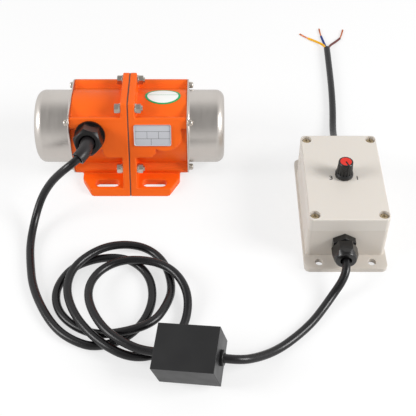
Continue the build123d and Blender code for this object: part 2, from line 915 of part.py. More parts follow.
motor_gland = Gland(
    across_flats=motor_gland_af,
    rim=motor_gland_rim,
    rim_height=motor_gland_rim_height,
    flange=motor_gland_flange,
    collar=motor_gland_collar,
    waist=motor_gland_waist,
    reach=motor_gland_reach,
    lip=motor_gland_lip,
    mouth=motor_gland_mouth,
    thread=motor_gland_thread,
    shank=motor_gland_shank,
    bore=sleeve_radius + sheath_gap,
    body_turn=motor_gland_turn,
    nut_turn=motor_gland_turn,
)
output_gland = Gland(
    across_flats=output_gland_af,
    rim=output_gland_rim,
    rim_height=output_gland_rim_height,
    flange=output_gland_flange,
    collar=output_gland_collar,
    waist=output_gland_waist,
    reach=output_gland_reach,
    lip=output_gland_lip,
    mouth=output_gland_mouth,
    thread=output_gland_thread,
    shank=case_wall + locknut_height + thread_runout,
    bore=lead_diameter / 2 + sheath_gap,
    body_turn=output_gland_turn,
    nut_turn=0.0,
)
motor_gland_frame = slope_plane(motor_gland_x, boss_z).location
output_gland_frame = Location((output_x, case_y - case_length / 2, output_z), (90, 0, 0))


def output_gland_locknut():
    """Locknut behind the case's front wall."""
    ring = hexagon(output_gland_af) - Circle(output_gland_thread + seat_gap)
    return output_gland_frame * Pos(0, 0, -case_wall - seat_gap) * extrude(ring, -locknut_height)


# ---------------------------------------------------------------- routes of the leads
gland_root = tuple(slope_plane(motor_gland_x, boss_z).origin)
gland_out = tuple(slope_normal)
motor_lead_points = [
    along(gland_root, gland_out, lead_inset),
    along(gland_root, gland_out, motor_gland_reach + motor_lead_straight),
    (-37.5, -61.0, 65.0),
    (-43.0, -66.5, 62.0),
    (-51.5, -69.5, 54.5),
    (-61.0, -71.0, 45.5),
    (-70.5, -73.5, 35.5),
    (-79.0, -79.5, 22.5),
    (-84.0, -94.0, 10.5),
    (-87.0, -118.0, 3.7),
    (-82.5, -142.0, 3.6),
    (-75.5, -167.0, 3.6),
    (-62.0, -191.0, 3.6),
    (-47.0, -208.5, 3.6),
]

capacitor_turn = Rot(0, 0, capacitor_tilt[2]) * Rot(0, capacitor_tilt[1], 0) * Rot(capacitor_tilt[0], 0, 0)
tilt_x = math.radians(capacitor_tilt[0])
tilt_y = math.radians(capacitor_tilt[1])
capacitor_lift = (
    capacitor_length / 2 * abs(math.sin(tilt_y))
    + capacitor_width / 2 * math.cos(tilt_y) * math.sin(tilt_x)
    + capacitor_height / 2 * math.cos(tilt_y) * math.cos(tilt_x)
)
capacitor_frame = Pos(capacitor_place[0], capacitor_place[1], capacitor_lift) * capacitor_turn


def capacitor_axis(distance, drop=0.0):
    """Point at a distance from the box's middle along its length, and below its long axis."""
    return tuple((capacitor_frame * Pos(distance, 0, -drop)).position)


case_front_y = case_y - case_length / 2
case_back_y = case_y + case_length / 2
link_lead_points = [
    capacitor_axis(capacitor_length / 2 - capacitor_wall, link_exit_drop),
    capacitor_axis(capacitor_length / 2 + link_straight, link_exit_drop),
    (113.0, -243.0, 13.5),
    (129.0, -231.0, 4.6),
    (144.0, -218.0, 3.6),
    (158.0, -203.5, 3.6),
    (169.5, -190.5, 3.7),
    (179.0, -178.5, 7.0),
    (186.5, -168.0, 14.5),
    (output_x, case_front_y - output_gland_reach - output_straight, output_z - output_sag),
    (output_x, case_front_y - output_gland_collar + lead_inset, output_z),
]
tail_points = [
    (-4.0, -232.5, 11.0),
    (10.0, -237.5, 13.6),
    capacitor_axis(-capacitor_length / 2 - tail_straight),
    capacitor_axis(capacitor_wall - capacitor_length / 2),
]
supply_points = [
    (supply_x, case_back_y - lead_inset, supply_z),
    (supply_x, case_back_y + supply_straight, supply_z),
    (196.6, -2.0, 17.5),
    (198.0, 16.0, 8.5),
    (199.6, 36.0, 4.2),
    (201.8, 62.0, 3.5),
    (204.0, 96.0, 3.5),
    (205.2, 134.0, 3.5),
    (206.0, 172.0, 3.5),
]
core_points = {
    "yellow_core": [(204.4, 172.0, 4.3), (203.2, 178.0, 3.6), (196.5, 187.0, 1.6), (187.0, 194.0, 1.3)],
    "blue_core": [(206.0, 172.0, 1.6), (205.2, 179.5, 1.4), (203.4, 189.0, 1.3), (202.0, 198.0, 1.3)],
    "brown_core": [(207.6, 172.0, 4.3), (210.0, 178.0, 3.4), (217.0, 186.5, 1.6), (223.0, 194.0, 1.3)],
}
copper_points = (
    [(187.0, 194.0, 1.3), (182.5, 198.0, 1.0), (178.0, 203.0, 0.8)],
    [(202.0, 198.0, 1.3), (201.2, 205.5, 1.0), (201.0, 213.0, 0.8)],
    [(223.0, 194.0, 1.3), (226.0, 202.0, 1.0), (228.0, 211.0, 0.8)],
)


def lead_sleeve():
    """Soft sleeve round the lead where it leaves the gland."""
    radii = bend_radii(motor_lead_points)[:sleeve_last]
    first = along(gland_root, gland_out, motor_gland_rim_height)
    corner = Vector(*motor_lead_points[sleeve_last])
    onward = Vector(*motor_lead_points[sleeve_last + 1])
    last = tuple(corner + (onward - corner) * sleeve_share)
    points = [first, *motor_lead_points[1:sleeve_last + 1], last]
    bore = lead_diameter / 2 + sheath_gap
    return tube(points, radii, sleeve_radius) - tube(points, radii, bore)


def lead_coil():
    """Outer shape of the loose turns, with the tail that goes into the capacitor box."""
    reach = lead_diameter / 2
    outer = Sketch()
    inner = None
    for x, y, half_width, half_depth in coil_turns:
        outer += Pos(x, y) * Ellipse(half_width + reach, half_depth + reach)
        hole = Pos(x, y) * Ellipse(half_width - reach, half_depth - reach)
        inner = hole if inner is None else inner & hole
    coil = extrude(outer - inner, coil_height)
    coil -= capacitor_frame * Box(
        capacitor_length + 2 * grommet_proud + 2 * capacitor_clearance,
        capacitor_width + 2 * capacitor_clearance,
        capacitor_height + 2 * capacitor_clearance,
    )
    return coil + tube(tail_points, bend_radii(tail_points), reach)


# ---------------------------------------------------------------- capacitor box
def capacitor_pieces():
    """Case, cover, capacitor and the two grommets, in the box's tilted place."""
    length, width, height = capacitor_length, capacitor_width, capacitor_height
    wall = capacitor_wall
    case = Box(length, width, height)
    case = fillet(case.edges(), capacitor_edge)
    inside = (length - 2 * wall, width - 2 * wall)
    case -= Pos(0, 0, -wall) * Box(*inside, height)
    cable_hole = Cylinder(grommet_neck + seat_gap, 2 * grommet_neck, rotation=(0, 90, 0))
    for x, z in ((-length / 2, 0), (length / 2, -link_exit_drop)):
        case -= Pos(x, 0, z) * cable_hole
    cover = Pos(0, 0, (wall - height) / 2) * Box(inside[0] - 2 * seat_gap, inside[1] - 2 * seat_gap, wall)
    block_height = height - 2 * wall - capacitor_headroom
    margin = 2 * grommet_proud
    block = Box(inside[0] - 2 * margin, inside[1] - wall, block_height)
    block = fillet(block.edges().filter_by(Axis.Z), wall)
    block = Pos(0, 0, wall - height / 2 + block_height / 2) * block
    bore = lead_diameter / 2 + sheath_gap
    grommet = extrude(Circle(grommet_neck), wall)
    grommet += Pos(0, 0, wall) * extrude(Circle(grommet_radius), grommet_proud)
    grommet = fillet(grommet.edges().group_by(Axis.Z)[-1], grommet_round)
    grommet -= extrude(Circle(bore), wall + grommet_proud)
    right = Location((length / 2 - wall, 0, -link_exit_drop), (0, 90, 0)) * grommet
    left = Location((wall - length / 2, 0, 0), (0, -90, 0)) * grommet
    return {
        "capacitor_case": capacitor_frame * case,
        "capacitor_cover": capacitor_frame * cover,
        "capacitor_block": capacitor_frame * block,
        "capacitor_grommets": group([capacitor_frame * right, capacitor_frame * left]),
    }


# ---------------------------------------------------------------- controller
case_frame = Pos(case_x, case_y, 0)
column_spots = [(x, y) for x in (-column_x, column_x) for y in (-column_y, column_y)]


def case_ring(inset, start, end):
    """The case's rounded outline, drawn in by an inset, between two heights."""
    outline = RectangleRounded(
        case_width - 2 * inset, case_length - 2 * inset, max(case_corner - inset, case_inner_corner),
    )
    return Pos(0, 0, start) * extrude(outline, end - start)


def controller_base():
    """Lower shell with the fixing ears, screw columns and board posts."""
    plate = RectangleRounded(ear_plate_width, ear_plate_length, ear_plate_corner)
    shell = extrude(plate, ear_plate_thickness) + case_ring(0, 0, case_seam_z)
    shell -= case_ring(case_wall, case_floor, case_seam_z)
    columns = case_ring(0, case_floor, case_seam_z)
    posts = Part()
    for x, y in column_spots:
        posts += Pos(x, y, case_floor) * extrude(Circle(column_radius), case_seam_z - case_floor)
    shell += posts & columns
    standoff_x = board_width / 2 - standoff_inset
    standoff_y = board_length / 2 - standoff_inset
    for x in (-standoff_x, standoff_x):
        for y in (-standoff_y, standoff_y):
            shell += Pos(x, y, case_floor) * extrude(Circle(standoff_radius), board_z - case_floor)
    screw_top = case_height - counterbore_depth
    for x, y in column_spots:
        bore = extrude(Circle(lid_screw_radius + seat_gap), -lid_screw_grip - thread_runout)
        shell -= Pos(x, y, screw_top) * bore
    for x in (-ear_hole_x, ear_hole_x):
        for y in (-ear_hole_y, ear_hole_y):
            shell -= Pos(x, y) * extrude(Circle(ear_hole_radius), ear_plate_thickness)
    shell = case_frame * shell
    front = Location((output_x, case_front_y, output_z), (90, 0, 0))
    shell -= front * extrude(Circle(output_gland_thread + seat_gap), -case_wall)
    back = Location((supply_x, case_back_y, supply_z), (90, 0, 0))
    return shell - back * extrude(Circle(bushing_neck + seat_gap), case_wall)


def controller_lid():
    """Upper shell with recessed screw wells and the seal's groove."""
    lid = case_ring(0, case_seam_z, case_height)
    lid = fillet(lid.faces().sort_by(Axis.Z)[-1].edges(), lid_edge_radius)
    outside = case_ring(0, case_seam_z, case_height)
    lid -= case_ring(case_wall, case_seam_z, case_height - case_wall)
    columns = Part()
    for x, y in column_spots:
        column = Circle(counterbore_radius + case_wall / 2)
        columns += Pos(x, y, case_seam_z) * extrude(column, case_height - case_seam_z - case_wall / 2)
    lid += columns & outside
    for x, y in column_spots:
        top = Pos(x, y, case_height)
        lid -= top * extrude(Circle(counterbore_radius), -counterbore_depth)
        lid -= top * extrude(Circle(lid_screw_radius + bolt_gap), case_seam_z - case_height)
    lid -= Pos(0, 0, case_height) * extrude(Circle(pot_bush_radius + seat_gap), -case_wall)
    lid -= seal_ring(seat_gap)
    return case_frame * lid


def seal_ring(clearance=0.0):
    """Seal that lies in a groove round the lid's rim."""
    top = case_seam_z + seal_height + clearance
    outer = case_ring(seal_inset - clearance, case_seam_z, top)
    return outer - case_ring(seal_inset + seal_width + clearance, case_seam_z, top)


def lid_screws():
    """Four screws at the bottom of the lid's wells."""
    screw = pan_screw(lid_screw_radius, lid_screw_head_radius, lid_screw_head_height, lid_screw_grip)
    depth = case_height - counterbore_depth
    return group([case_frame * Pos(x, y, depth) * screw for x, y in column_spots])


def circuit_board():
    """Board on the base's four posts."""
    board = extrude(RectangleRounded(board_width, board_length, board_corner), board_thickness)
    return case_frame * Pos(0, 0, board_z) * board


def terminal_block():
    """Screw terminals for the two leads."""
    length, width, height = terminal_size
    block = Pos(0, 0, height / 2) * Box(length, width, height)
    for index in range(int(length / terminal_pitch)):
        x = (index + 0.5) * terminal_pitch - int(length / terminal_pitch) * terminal_pitch / 2
        block -= Pos(x, 0, height) * extrude(Circle(terminal_screw_radius), -height / 2)
    y = board_length / 2 - terminal_inset
    return case_frame * Pos(0, y, board_z + board_thickness) * block


def heat_sink():
    """Finned heat sink that carries the power switch."""
    length, width, height = heat_sink_size
    sink = Pos(0, 0, height / 2) * Box(length, width, height)
    pitch = length / heat_sink_fins
    for index in range(1, heat_sink_fins):
        x = index * pitch - length / 2
        sink -= Pos(x, heat_sink_back, height / 2) * Box(fin_gap, width, height)
    return case_frame * Pos(*heat_sink_place, board_z + board_thickness) * sink


def potentiometer():
    """Round body under the lid with a threaded bush through it."""
    under = case_height - case_wall
    body = Pos(0, 0, under - seat_gap) * extrude(Circle(pot_radius), -pot_height)
    root = under - pot_bush_root
    body += Pos(0, 0, root) * extrude(Circle(pot_bush_radius), case_height + pot_bush_top - root)
    bottom = case_height - spindle_below - running_gap
    body -= Pos(0, 0, bottom) * extrude(Circle(spindle_radius + running_gap), case_height)
    return case_frame * body


def potentiometer_nut():
    """Nut that holds the potentiometer to the lid."""
    nut = hex_head(pot_nut_af, pot_nut_height)
    nut -= extrude(Circle(pot_bush_radius + seat_gap), pot_nut_height)
    return case_frame * Pos(0, 0, case_height) * nut


def potentiometer_spindle():
    """Spindle that the knob turns."""
    length = spindle_below + spindle_top
    return case_frame * Pos(0, 0, case_height - spindle_below) * extrude(Circle(spindle_radius), length)


def control_knob():
    """Fluted knob with a skirt, a pointer ridge and a recess for its cap."""
    top = knob_height
    knob = turned_up((
        (0, 0),
        (knob_radius - knob_edge, 0),
        (knob_radius, knob_edge),
        (knob_radius, knob_skirt_height),
        (knob_neck_radius, knob_neck_height),
        (knob_top_radius, top - knob_edge),
        (knob_top_radius - knob_edge, top),
        (0, top),
    ))
    for index in range(knob_flutes):
        spot = Rot(0, 0, pointer_angle + 360 * (index + 0.5) / knob_flutes) * Pos(flute_pitch_radius, 0)
        knob -= spot * Pos(0, 0, knob_neck_height) * extrude(Circle(flute_radius), top)
    ridge_length = knob_neck_radius - knob_cap_radius
    ridge = Pos((knob_neck_radius + knob_cap_radius) / 2, 0, (top + knob_neck_height) / 2) * Box(
        ridge_length, pointer_width, top - knob_neck_height,
    )
    knob += Rot(0, 0, pointer_angle) * ridge
    knob -= extrude(Circle(knob_socket_radius), knob_socket_depth)
    knob -= extrude(Circle(spindle_radius + seat_gap), spindle_top)
    knob -= Pos(0, 0, top) * extrude(Circle(knob_cap_radius + seat_gap), -knob_cap_thickness)
    return case_frame * Pos(0, 0, case_height + knob_lift) * knob


def knob_cap():
    """Coloured disc in the knob's top, with the pointer's slot."""
    disc = extrude(Circle(knob_cap_radius), knob_cap_thickness)
    slot = Box(knob_cap_radius, pointer_width, knob_cap_thickness)
    disc -= Rot(0, 0, pointer_angle) * Pos(knob_cap_radius / 2, 0, knob_cap_thickness) * slot
    lift = case_height + knob_lift + knob_height - knob_cap_thickness
    return case_frame * Pos(0, 0, lift) * disc


def supply_bushing():
    """Rubber bushing round the supply lead in the back wall."""
    bush = extrude(Circle(bushing_neck), case_wall) + Pos(0, 0, case_wall) * extrude(
        Circle(bushing_radius), bushing_proud,
    )
    bush = fillet(bush.edges().group_by(Axis.Z)[-1], bushing_round)
    bush -= extrude(Circle(supply_diameter / 2 + sheath_gap), case_wall + bushing_proud)
    return Location((supply_x, case_back_y - case_wall, supply_z), (-90, 0, 0)) * bush


# ---------------------------------------------------------------- write every piece
os.makedirs("parts", exist_ok=True)

cover = end_cover()
settable_weight = weight(settable_start_x, shaft_weight_radius + running_gap)
settable_bolt = clamp_bolt(settable_start_x)

nodes = {
    "left_housing": left_housing(),
    "right_housing": housing_half(),
    "housing_gasket": housing_gasket(),
    "left_end_cover": mirror(cover, about=Plane.YZ),
    "right_end_cover": cover,
    "cover_screws": cover_screws(),
    "flange_bolts": flange_bolts(),
    "flange_nuts": flange_nuts(),
    "spring_washers": spring_washers(),
    "stator_core": stator_core(),
    "stator_windings": stator_windings(),
    "bearing_outer_rings": bearing_outer_rings(),
    "bearing_inner_rings": bearing_inner_rings(),
    "bearing_balls": bearing_balls(),
    "bearing_circlips": bearing_circlips(),
    "shaft": shaft(),
    "shaft_keys": group(both_ends(key())),
    "shaft_circlips": shaft_circlips(),
    "rotor_core": rotor_core(),
    "rotor_cage": rotor_cage(),
    "weight_spacers": weight_spacers(),
    "fixed_weights": fixed_weights(),
    "fixed_weight_bolts": group(both_ends(clamp_bolt(weight_start_x))),
    "right_settable_weight": settable_weight,
    "right_settable_bolt": settable_bolt,
    "left_settable_weight": mirror(settable_weight, about=Plane.YZ),
    "left_settable_bolt": mirror(settable_bolt, about=Plane.YZ),
    "nameplate": nameplate(),
    "oval_label": oval_label(),
    "motor_gland_body": motor_gland_frame * motor_gland.body(),
    "motor_gland_nut": motor_gland_frame * motor_gland.nut(),
    "lead_sleeve": lead_sleeve(),
    "motor_lead": cord("motor_lead", motor_lead_points, lead_diameter),
    "lead_coil": lead_coil(),
    "link_lead": cord("link_lead", link_lead_points, lead_diameter),
    "controller_base": controller_base(),
    "controller_lid": controller_lid(),
    "lid_seal": case_frame * seal_ring(),
    "lid_screws": lid_screws(),
    "circuit_board": circuit_board(),
    "terminal_block": terminal_block(),
    "heat_sink": heat_sink(),
    "potentiometer": potentiometer(),
    "potentiometer_nut": potentiometer_nut(),
    "potentiometer_spindle": potentiometer_spindle(),
    "control_knob": control_knob(),
    "knob_cap": knob_cap(),
    "output_gland_body": output_gland_frame * output_gland.body(),
    "output_gland_nut": output_gland_frame * output_gland.nut(),
    "output_gland_locknut": output_gland_locknut(),
    "supply_bushing": supply_bushing(),
    "supply_lead": cord("supply_lead", supply_points, supply_diameter),
    "copper_ends": group([tube(p, bend_radii(p), copper_diameter / 2) for p in copper_points]),
}
nodes.update(capacitor_pieces())
for core_name, points in core_points.items():
    nodes[core_name] = cord(core_name, points, core_diameter)

for node_name, shape in nodes.items():
    export_step(shape, f"parts/{node_name}.step")
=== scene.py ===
"""Vibration motor with its capacitor box and speed controller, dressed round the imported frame.

Lengths are metres.  +X runs along the motor's shaft, +Y away from its cable gland, +Z up.
"""
from __future__ import annotations

import logging
import math
from contextlib import contextmanager
from dataclasses import dataclass, field
from enum import Enum
from typing import Iterator, Sequence

import bpy
from mathutils import Euler, Matrix, Vector


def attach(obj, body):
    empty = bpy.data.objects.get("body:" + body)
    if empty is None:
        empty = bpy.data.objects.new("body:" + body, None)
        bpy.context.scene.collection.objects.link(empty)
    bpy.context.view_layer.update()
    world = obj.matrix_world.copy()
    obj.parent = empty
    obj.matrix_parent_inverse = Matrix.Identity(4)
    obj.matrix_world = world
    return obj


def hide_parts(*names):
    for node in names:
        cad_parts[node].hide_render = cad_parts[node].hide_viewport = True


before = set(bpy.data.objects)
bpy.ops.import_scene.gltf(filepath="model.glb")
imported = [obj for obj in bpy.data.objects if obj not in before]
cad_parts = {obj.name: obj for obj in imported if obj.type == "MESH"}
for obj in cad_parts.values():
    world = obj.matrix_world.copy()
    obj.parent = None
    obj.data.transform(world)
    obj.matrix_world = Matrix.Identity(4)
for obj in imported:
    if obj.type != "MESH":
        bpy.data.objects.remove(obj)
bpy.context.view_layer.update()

log = logging.getLogger("vibration_motor")

MM = 0.001
MERGE_DISTANCE = 0.000002
Point = tuple[float, float, float]
Colour = tuple[int, int, int]
Socket = bpy.types.NodeSocket


class Body(Enum):
    """Bodies of the frame that new pieces ride on."""

    HOUSING = "housing"
    KNOB = "knob"


def srgb(red: int, green: int, blue: int) -> tuple[float, float, float, float]:
    """Turn an 8-bit display colour into the linear colour a shader takes.

    Args:
        red: Red, 0 to 255.
        green: Green, 0 to 255.
        blue: Blue, 0 to 255.

    Returns:
        Linear red, green, blue and an alpha of 1.
    """
    def linear(value: int) -> float:
        """Undo the display curve for one channel."""
        share = value / 255
        return share / 12.92 if share <= 0.04045 else ((share + 0.055) / 1.055) ** 2.4

    return linear(red), linear(green), linear(blue), 1.0


# ---------------------------------------------------------------- node trees
class Operation(Enum):
    """Ways that the Math node joins two values."""

    MULTIPLY = "MULTIPLY"
    SUBTRACT = "SUBTRACT"
    ABSOLUTE = "ABSOLUTE"
    LESS_THAN = "LESS_THAN"
    MAXIMUM = "MAXIMUM"


class Wiring:
    """Node tree, built a node at a time."""

    def __init__(self, tree: bpy.types.NodeTree) -> None:
        """Start on a tree.

        Args:
            tree: The node tree of a material or of the world.
        """
        self.tree = tree

    def node(self, kind: str, settings: dict[str, str] | None = None, **inputs: object) -> bpy.types.Node:
        """Add a node.

        Args:
            kind: The node's type.
            settings: Its properties.
            inputs: Its sockets by name, each a value or another node's output.

        Returns:
            The new node.
        """
        node = self.tree.nodes.new(kind)
        for key, value in (settings or {}).items():
            setattr(node, key, value)
        for key, value in inputs.items():
            self.plug(node.inputs[key.replace("_", " ")], value)
        return node

    def plug(self, socket: Socket, value: object) -> None:
        """Link a socket, or set its value.

        Args:
            socket: The input.
            value: Another node's output, a number or a tuple.
        """
        if isinstance(value, bpy.types.NodeSocket):
            self.tree.links.new(value, socket)
        else:
            socket.default_value = value

    def plug_all(self, node: bpy.types.Node, values: dict[int, object]) -> None:
        """Link or set a node's sockets by their numbers.

        Args:
            node: The node.
            values: The value of each socket.
        """
        for index, value in values.items():
            self.plug(node.inputs[index], value)

    def spread(
        self, value: Socket, low: object, high: object, start: float = 0.3, end: float = 0.7,
    ) -> Socket:
        """Stretch a pattern between two values.

        Args:
            value: The pattern.
            low: Value at start, a number or a socket.
            high: Value at end.
            start: Where the pattern begins to rise.
            end: Where it stops.

        Returns:
            The new value's socket.
        """
        limits = {"From_Min": start, "From_Max": end, "To_Min": low, "To_Max": high}
        return self.node("ShaderNodeMapRange", Value=value, **limits).outputs["Result"]

    def combine(self, first: Socket, operation: Operation, second: object = 0.0) -> Socket:
        """Join two values by one operation.

        Args:
            first: One value.
            operation: The operation.
            second: The other value, a number or a socket.

        Returns:
            The result's socket.
        """
        node = self.node("ShaderNodeMath", {"operation": operation.value})
        self.plug_all(node, {0: first, 1: second})
        return node.outputs[0]


class Mixer(Wiring):
    """Node tree of one material."""

    EDGE: tuple[float, float] = (0.52, 0.60)     # pointiness where an edge begins and on a sharp one

    def __init__(self, name: str) -> None:
        """Start a material with its Principled shader.

        Args:
            name: The material's name.
        """
        self.material = bpy.data.materials.new(name)
        self.material.use_nodes = True
        super().__init__(self.material.node_tree)
        self.shader = self.tree.nodes["Principled BSDF"]
        self.place = self.node("ShaderNodeTexCoord").outputs["Object"]

    def set(self, **inputs: object) -> None:
        """Set or link the shader's own sockets, named with underscores for spaces."""
        for key, value in inputs.items():
            self.plug(self.shader.inputs[key.replace("_", " ")], value)

    def mapped(self, scale: Point, location: Point = (0, 0, 0)) -> Socket:
        """Object coordinates, scaled and moved.

        Args:
            scale: Scale along each axis.
            location: Shift after the scale.

        Returns:
            The coordinates' socket.
        """
        node = self.node("ShaderNodeMapping", Vector=self.place, Location=location, Scale=scale)
        return node.outputs["Vector"]

    def noise(
        self, scale: float, detail: float = 2.0, stretch: Point = (1, 1, 1), rough: float = 0.5,
    ) -> Socket:
        """Soft random pattern from 0 to 1.

        Args:
            scale: Waves to the metre.
            detail: Octaves.
            stretch: Scale along each axis, for grain that runs one way.
            rough: Share of the finer octaves.

        Returns:
            The pattern's socket.
        """
        vector = self.mapped(stretch)
        node = self.node("ShaderNodeTexNoise", Vector=vector, Scale=scale, Detail=detail, Roughness=rough)
        return node.outputs[0]

    def blend(self, first: object, second: object, share: object) -> Socket:
        """Blend two colours.

        Args:
            first: Colour at share 0.
            second: Colour at share 1.
            share: The share, a number or a socket.

        Returns:
            The blended colour's socket.
        """
        node = self.node("ShaderNodeMix", {"data_type": "RGBA"})
        self.plug_all(node, {0: share, 6: first, 7: second})
        return node.outputs[2]

    def bump(self, height: Socket, distance: float, strength: float, **base: Socket) -> Socket:
        """Turn a height into a normal.

        Args:
            height: The pattern.
            distance: Its depth in metres.
            strength: Its share.
            base: Normal=the normal that it is added to, if there is one.

        Returns:
            The normal's socket.
        """
        node = self.node("ShaderNodeBump", Height=height, Distance=distance, Strength=strength, **base)
        return node.outputs["Normal"]

    def edges(self) -> Socket:
        """How far the surface stands out, from 0 on flats to 1 on worn edges."""
        return self.spread(self.node("ShaderNodeNewGeometry").outputs["Pointiness"], 0.0, 1.0, *self.EDGE)


# ---------------------------------------------------------------- finishes
@dataclass(frozen=True)
class Finish:
    """A surface's name, colour and gloss."""

    name: str
    colour: Colour
    roughness: float = 0.5
    gloss: float = 0.4

    def material(self) -> bpy.types.Material:
        """Find this finish's material, or make it.

        Returns:
            The material.
        """
        label = f"finish_{self.name}"
        found = bpy.data.materials.get(label)
        if found:
            return found
        mixer = Mixer(label)
        self.fill(mixer)
        return mixer.material

    def fill(self, mixer: Mixer) -> None:
        """Build the node tree.

        Args:
            mixer: The material under construction.
        """
        raise NotImplementedError

    def sheen(self, mixer: Mixer, pattern: Socket, smoother: float, rougher: float) -> Socket:
        """Roughness that wanders about the finish's own.

        Args:
            mixer: The material under construction.
            pattern: The pattern that it follows.
            smoother: How far it falls.
            rougher: How far it rises.

        Returns:
            The roughness's socket.
        """
        return mixer.spread(pattern, self.roughness - smoother, self.roughness + rougher)


@dataclass(frozen=True)
class PowderCoat(Finish):
    """Powder coat on a casting: orange peel, a little mottling and paler edges."""

    shade: Colour = (245, 92, 15)
    mottle: float = 28.0
    mottling: float = 0.42
    worn: Colour = (255, 158, 98)
    wear: float = 0.30
    peel: float = 380.0
    peel_depth: float = 0.00010
    finer: float = 5.0           # of the grain on the peel, against the peel
    shallower: float = 6.0
    wander: float = 90.0

    def fill(self, mixer: Mixer) -> None:
        """Mottled colour, orange-peel bump and worn edges.

        Args:
            mixer: The material under construction.
        """
        mottling = mixer.spread(mixer.noise(self.mottle, 3), 0.0, self.mottling, start=0.35, end=0.75)
        colour = mixer.blend(srgb(*self.colour), srgb(*self.shade), mottling)
        wear = mixer.combine(mixer.edges(), Operation.MULTIPLY, self.wear)
        peel = mixer.bump(mixer.noise(self.peel, 1), self.peel_depth, strength=0.5)
        grain = mixer.noise(self.peel * self.finer)
        mixer.set(
            Base_Color=mixer.blend(colour, srgb(*self.worn), wear),
            Roughness=self.sheen(mixer, mixer.noise(self.wander), 0.05, 0.06),
            Normal=mixer.bump(grain, self.peel_depth / self.shallower, strength=0.5, Normal=peel),
            Specular_IOR_Level=self.gloss,
        )


class Grain(Enum):
    """Way that a brushed grain runs, as a stretch of the pattern."""

    AROUND_SHAFT = (1.0, 0.02, 0.02)
    ALL_WAYS = (1.0, 1.0, 1.0)


@dataclass(frozen=True)
class Metal(Finish):
    """Bare or plated metal with a grain and faint stains."""

    stain: Colour = (120, 114, 106)
    stains: float = 0.25
    stain_scale: float = 45.0
    grain: Grain = Grain.ALL_WAYS
    grain_scale: float = 1500.0
    depth: float = 0.00001
    metallic: float = 1.0

    def fill(self, mixer: Mixer) -> None:
        """Fine grain in the gloss and the bump, with slow stains.

        Args:
            mixer: The material under construction.
        """
        lines = mixer.noise(self.grain_scale, 3, self.grain.value, rough=0.6)
        stain = mixer.spread(mixer.noise(self.stain_scale, 4), 0.0, self.stains, start=0.45, end=0.8)
        mixer.set(
            Base_Color=mixer.blend(srgb(*self.colour), srgb(*self.stain), stain),
            Metallic=self.metallic,
            Roughness=self.sheen(mixer, lines, 0.05, 0.07),
            Normal=mixer.bump(lines, self.depth, strength=0.4),
        )


@dataclass(frozen=True)
class Moulding(Finish):
    """Moulded plastic or rubber: fine spark-eroded grain, slight colour drift and rubbed edges."""

    rubbed: Colour = (90, 88, 88)
    rub: float = 0.15
    drift: float = 0.10
    drift_scale: float = 22.0
    grain: float = 2200.0
    depth: float = 0.00002
    wander: float = 60.0
    body: float = 0.0
    body_reach: Point = (0.004, 0.003, 0.002)
    body_scale: float = 0.3

    def fill(self, mixer: Mixer) -> None:
        """Grain in the bump, drift in the colour and a lighter rub on the edges.

        Args:
            mixer: The material under construction.
        """
        drift = mixer.spread(mixer.noise(self.drift_scale, 3), 0.0, self.drift)
        colour = mixer.blend(srgb(*self.colour), srgb(*self.rubbed), drift)
        rub = mixer.combine(mixer.edges(), Operation.MULTIPLY, self.rub)
        mixer.set(
            Base_Color=mixer.blend(colour, srgb(*self.rubbed), rub),
            Roughness=self.sheen(mixer, mixer.noise(self.wander), 0.04, 0.05),
            Normal=mixer.bump(mixer.noise(self.grain), self.depth, strength=0.5),
            Specular_IOR_Level=self.gloss,
        )
        if self.body:
            reach, scale = self.body_reach, self.body_scale
            mixer.set(Subsurface_Weight=self.body, Subsurface_Radius=reach, Subsurface_Scale=scale)


@dataclass(frozen=True)
class Sheath(Finish):
    """Extruded cable sheath: smooth, with faint scuffs and a dusty bloom."""

    bloom: Colour = (40, 38, 40)
    blooming: float = 0.35
    bloom_scale: float = 50.0
    scuff_scale: float = 240.0
    skin: float = 1300.0
    skin_depth: float = 0.00002

    def fill(self, mixer: Mixer) -> None:
        """Slow bloom in the colour, scuffs in the gloss and a fine skin.

        Args:
            mixer: The material under construction.
        """
        scuffs = mixer.noise(self.scuff_scale, 4, rough=0.7)
        bloom = mixer.spread(mixer.noise(self.bloom_scale, 3), 0.0, self.blooming, start=0.4, end=0.8)
        mixer.set(
            Base_Color=mixer.blend(srgb(*self.colour), srgb(*self.bloom), bloom),
            Roughness=self.sheen(mixer, scuffs, 0.06, 0.10),
            Normal=mixer.bump(mixer.noise(self.skin), self.skin_depth, strength=0.4),
            Specular_IOR_Level=self.gloss,
        )


@dataclass(frozen=True)
class Laminated(Finish):
    """Stacked sheet steel or layered wire: fine lines across the shaft."""

    line: Colour = (40, 40, 42)
    pitch: float = 0.0007
    wave: float = math.pi / 10   # length of the wave texture's bands at a scale of 1
    depth: float = 0.00005
    metallic: float = 0.8

    def fill(self, mixer: Mixer) -> None:
        """Lines at the sheets' pitch, in the colour and the bump.

        Args:
            mixer: The material under construction.
        """
        vector = mixer.mapped((self.wave / self.pitch, 0, 0))
        lines = mixer.node("ShaderNodeTexWave", {"bands_direction": "X"}, Vector=vector, Scale=1.0).outputs[1]
        mixer.set(
            Base_Color=mixer.blend(srgb(*self.line), srgb(*self.colour), mixer.spread(lines, 0.2, 1.0)),
            Metallic=self.metallic,
            Roughness=self.roughness,
            Normal=mixer.bump(lines, self.depth, strength=0.5),
        )


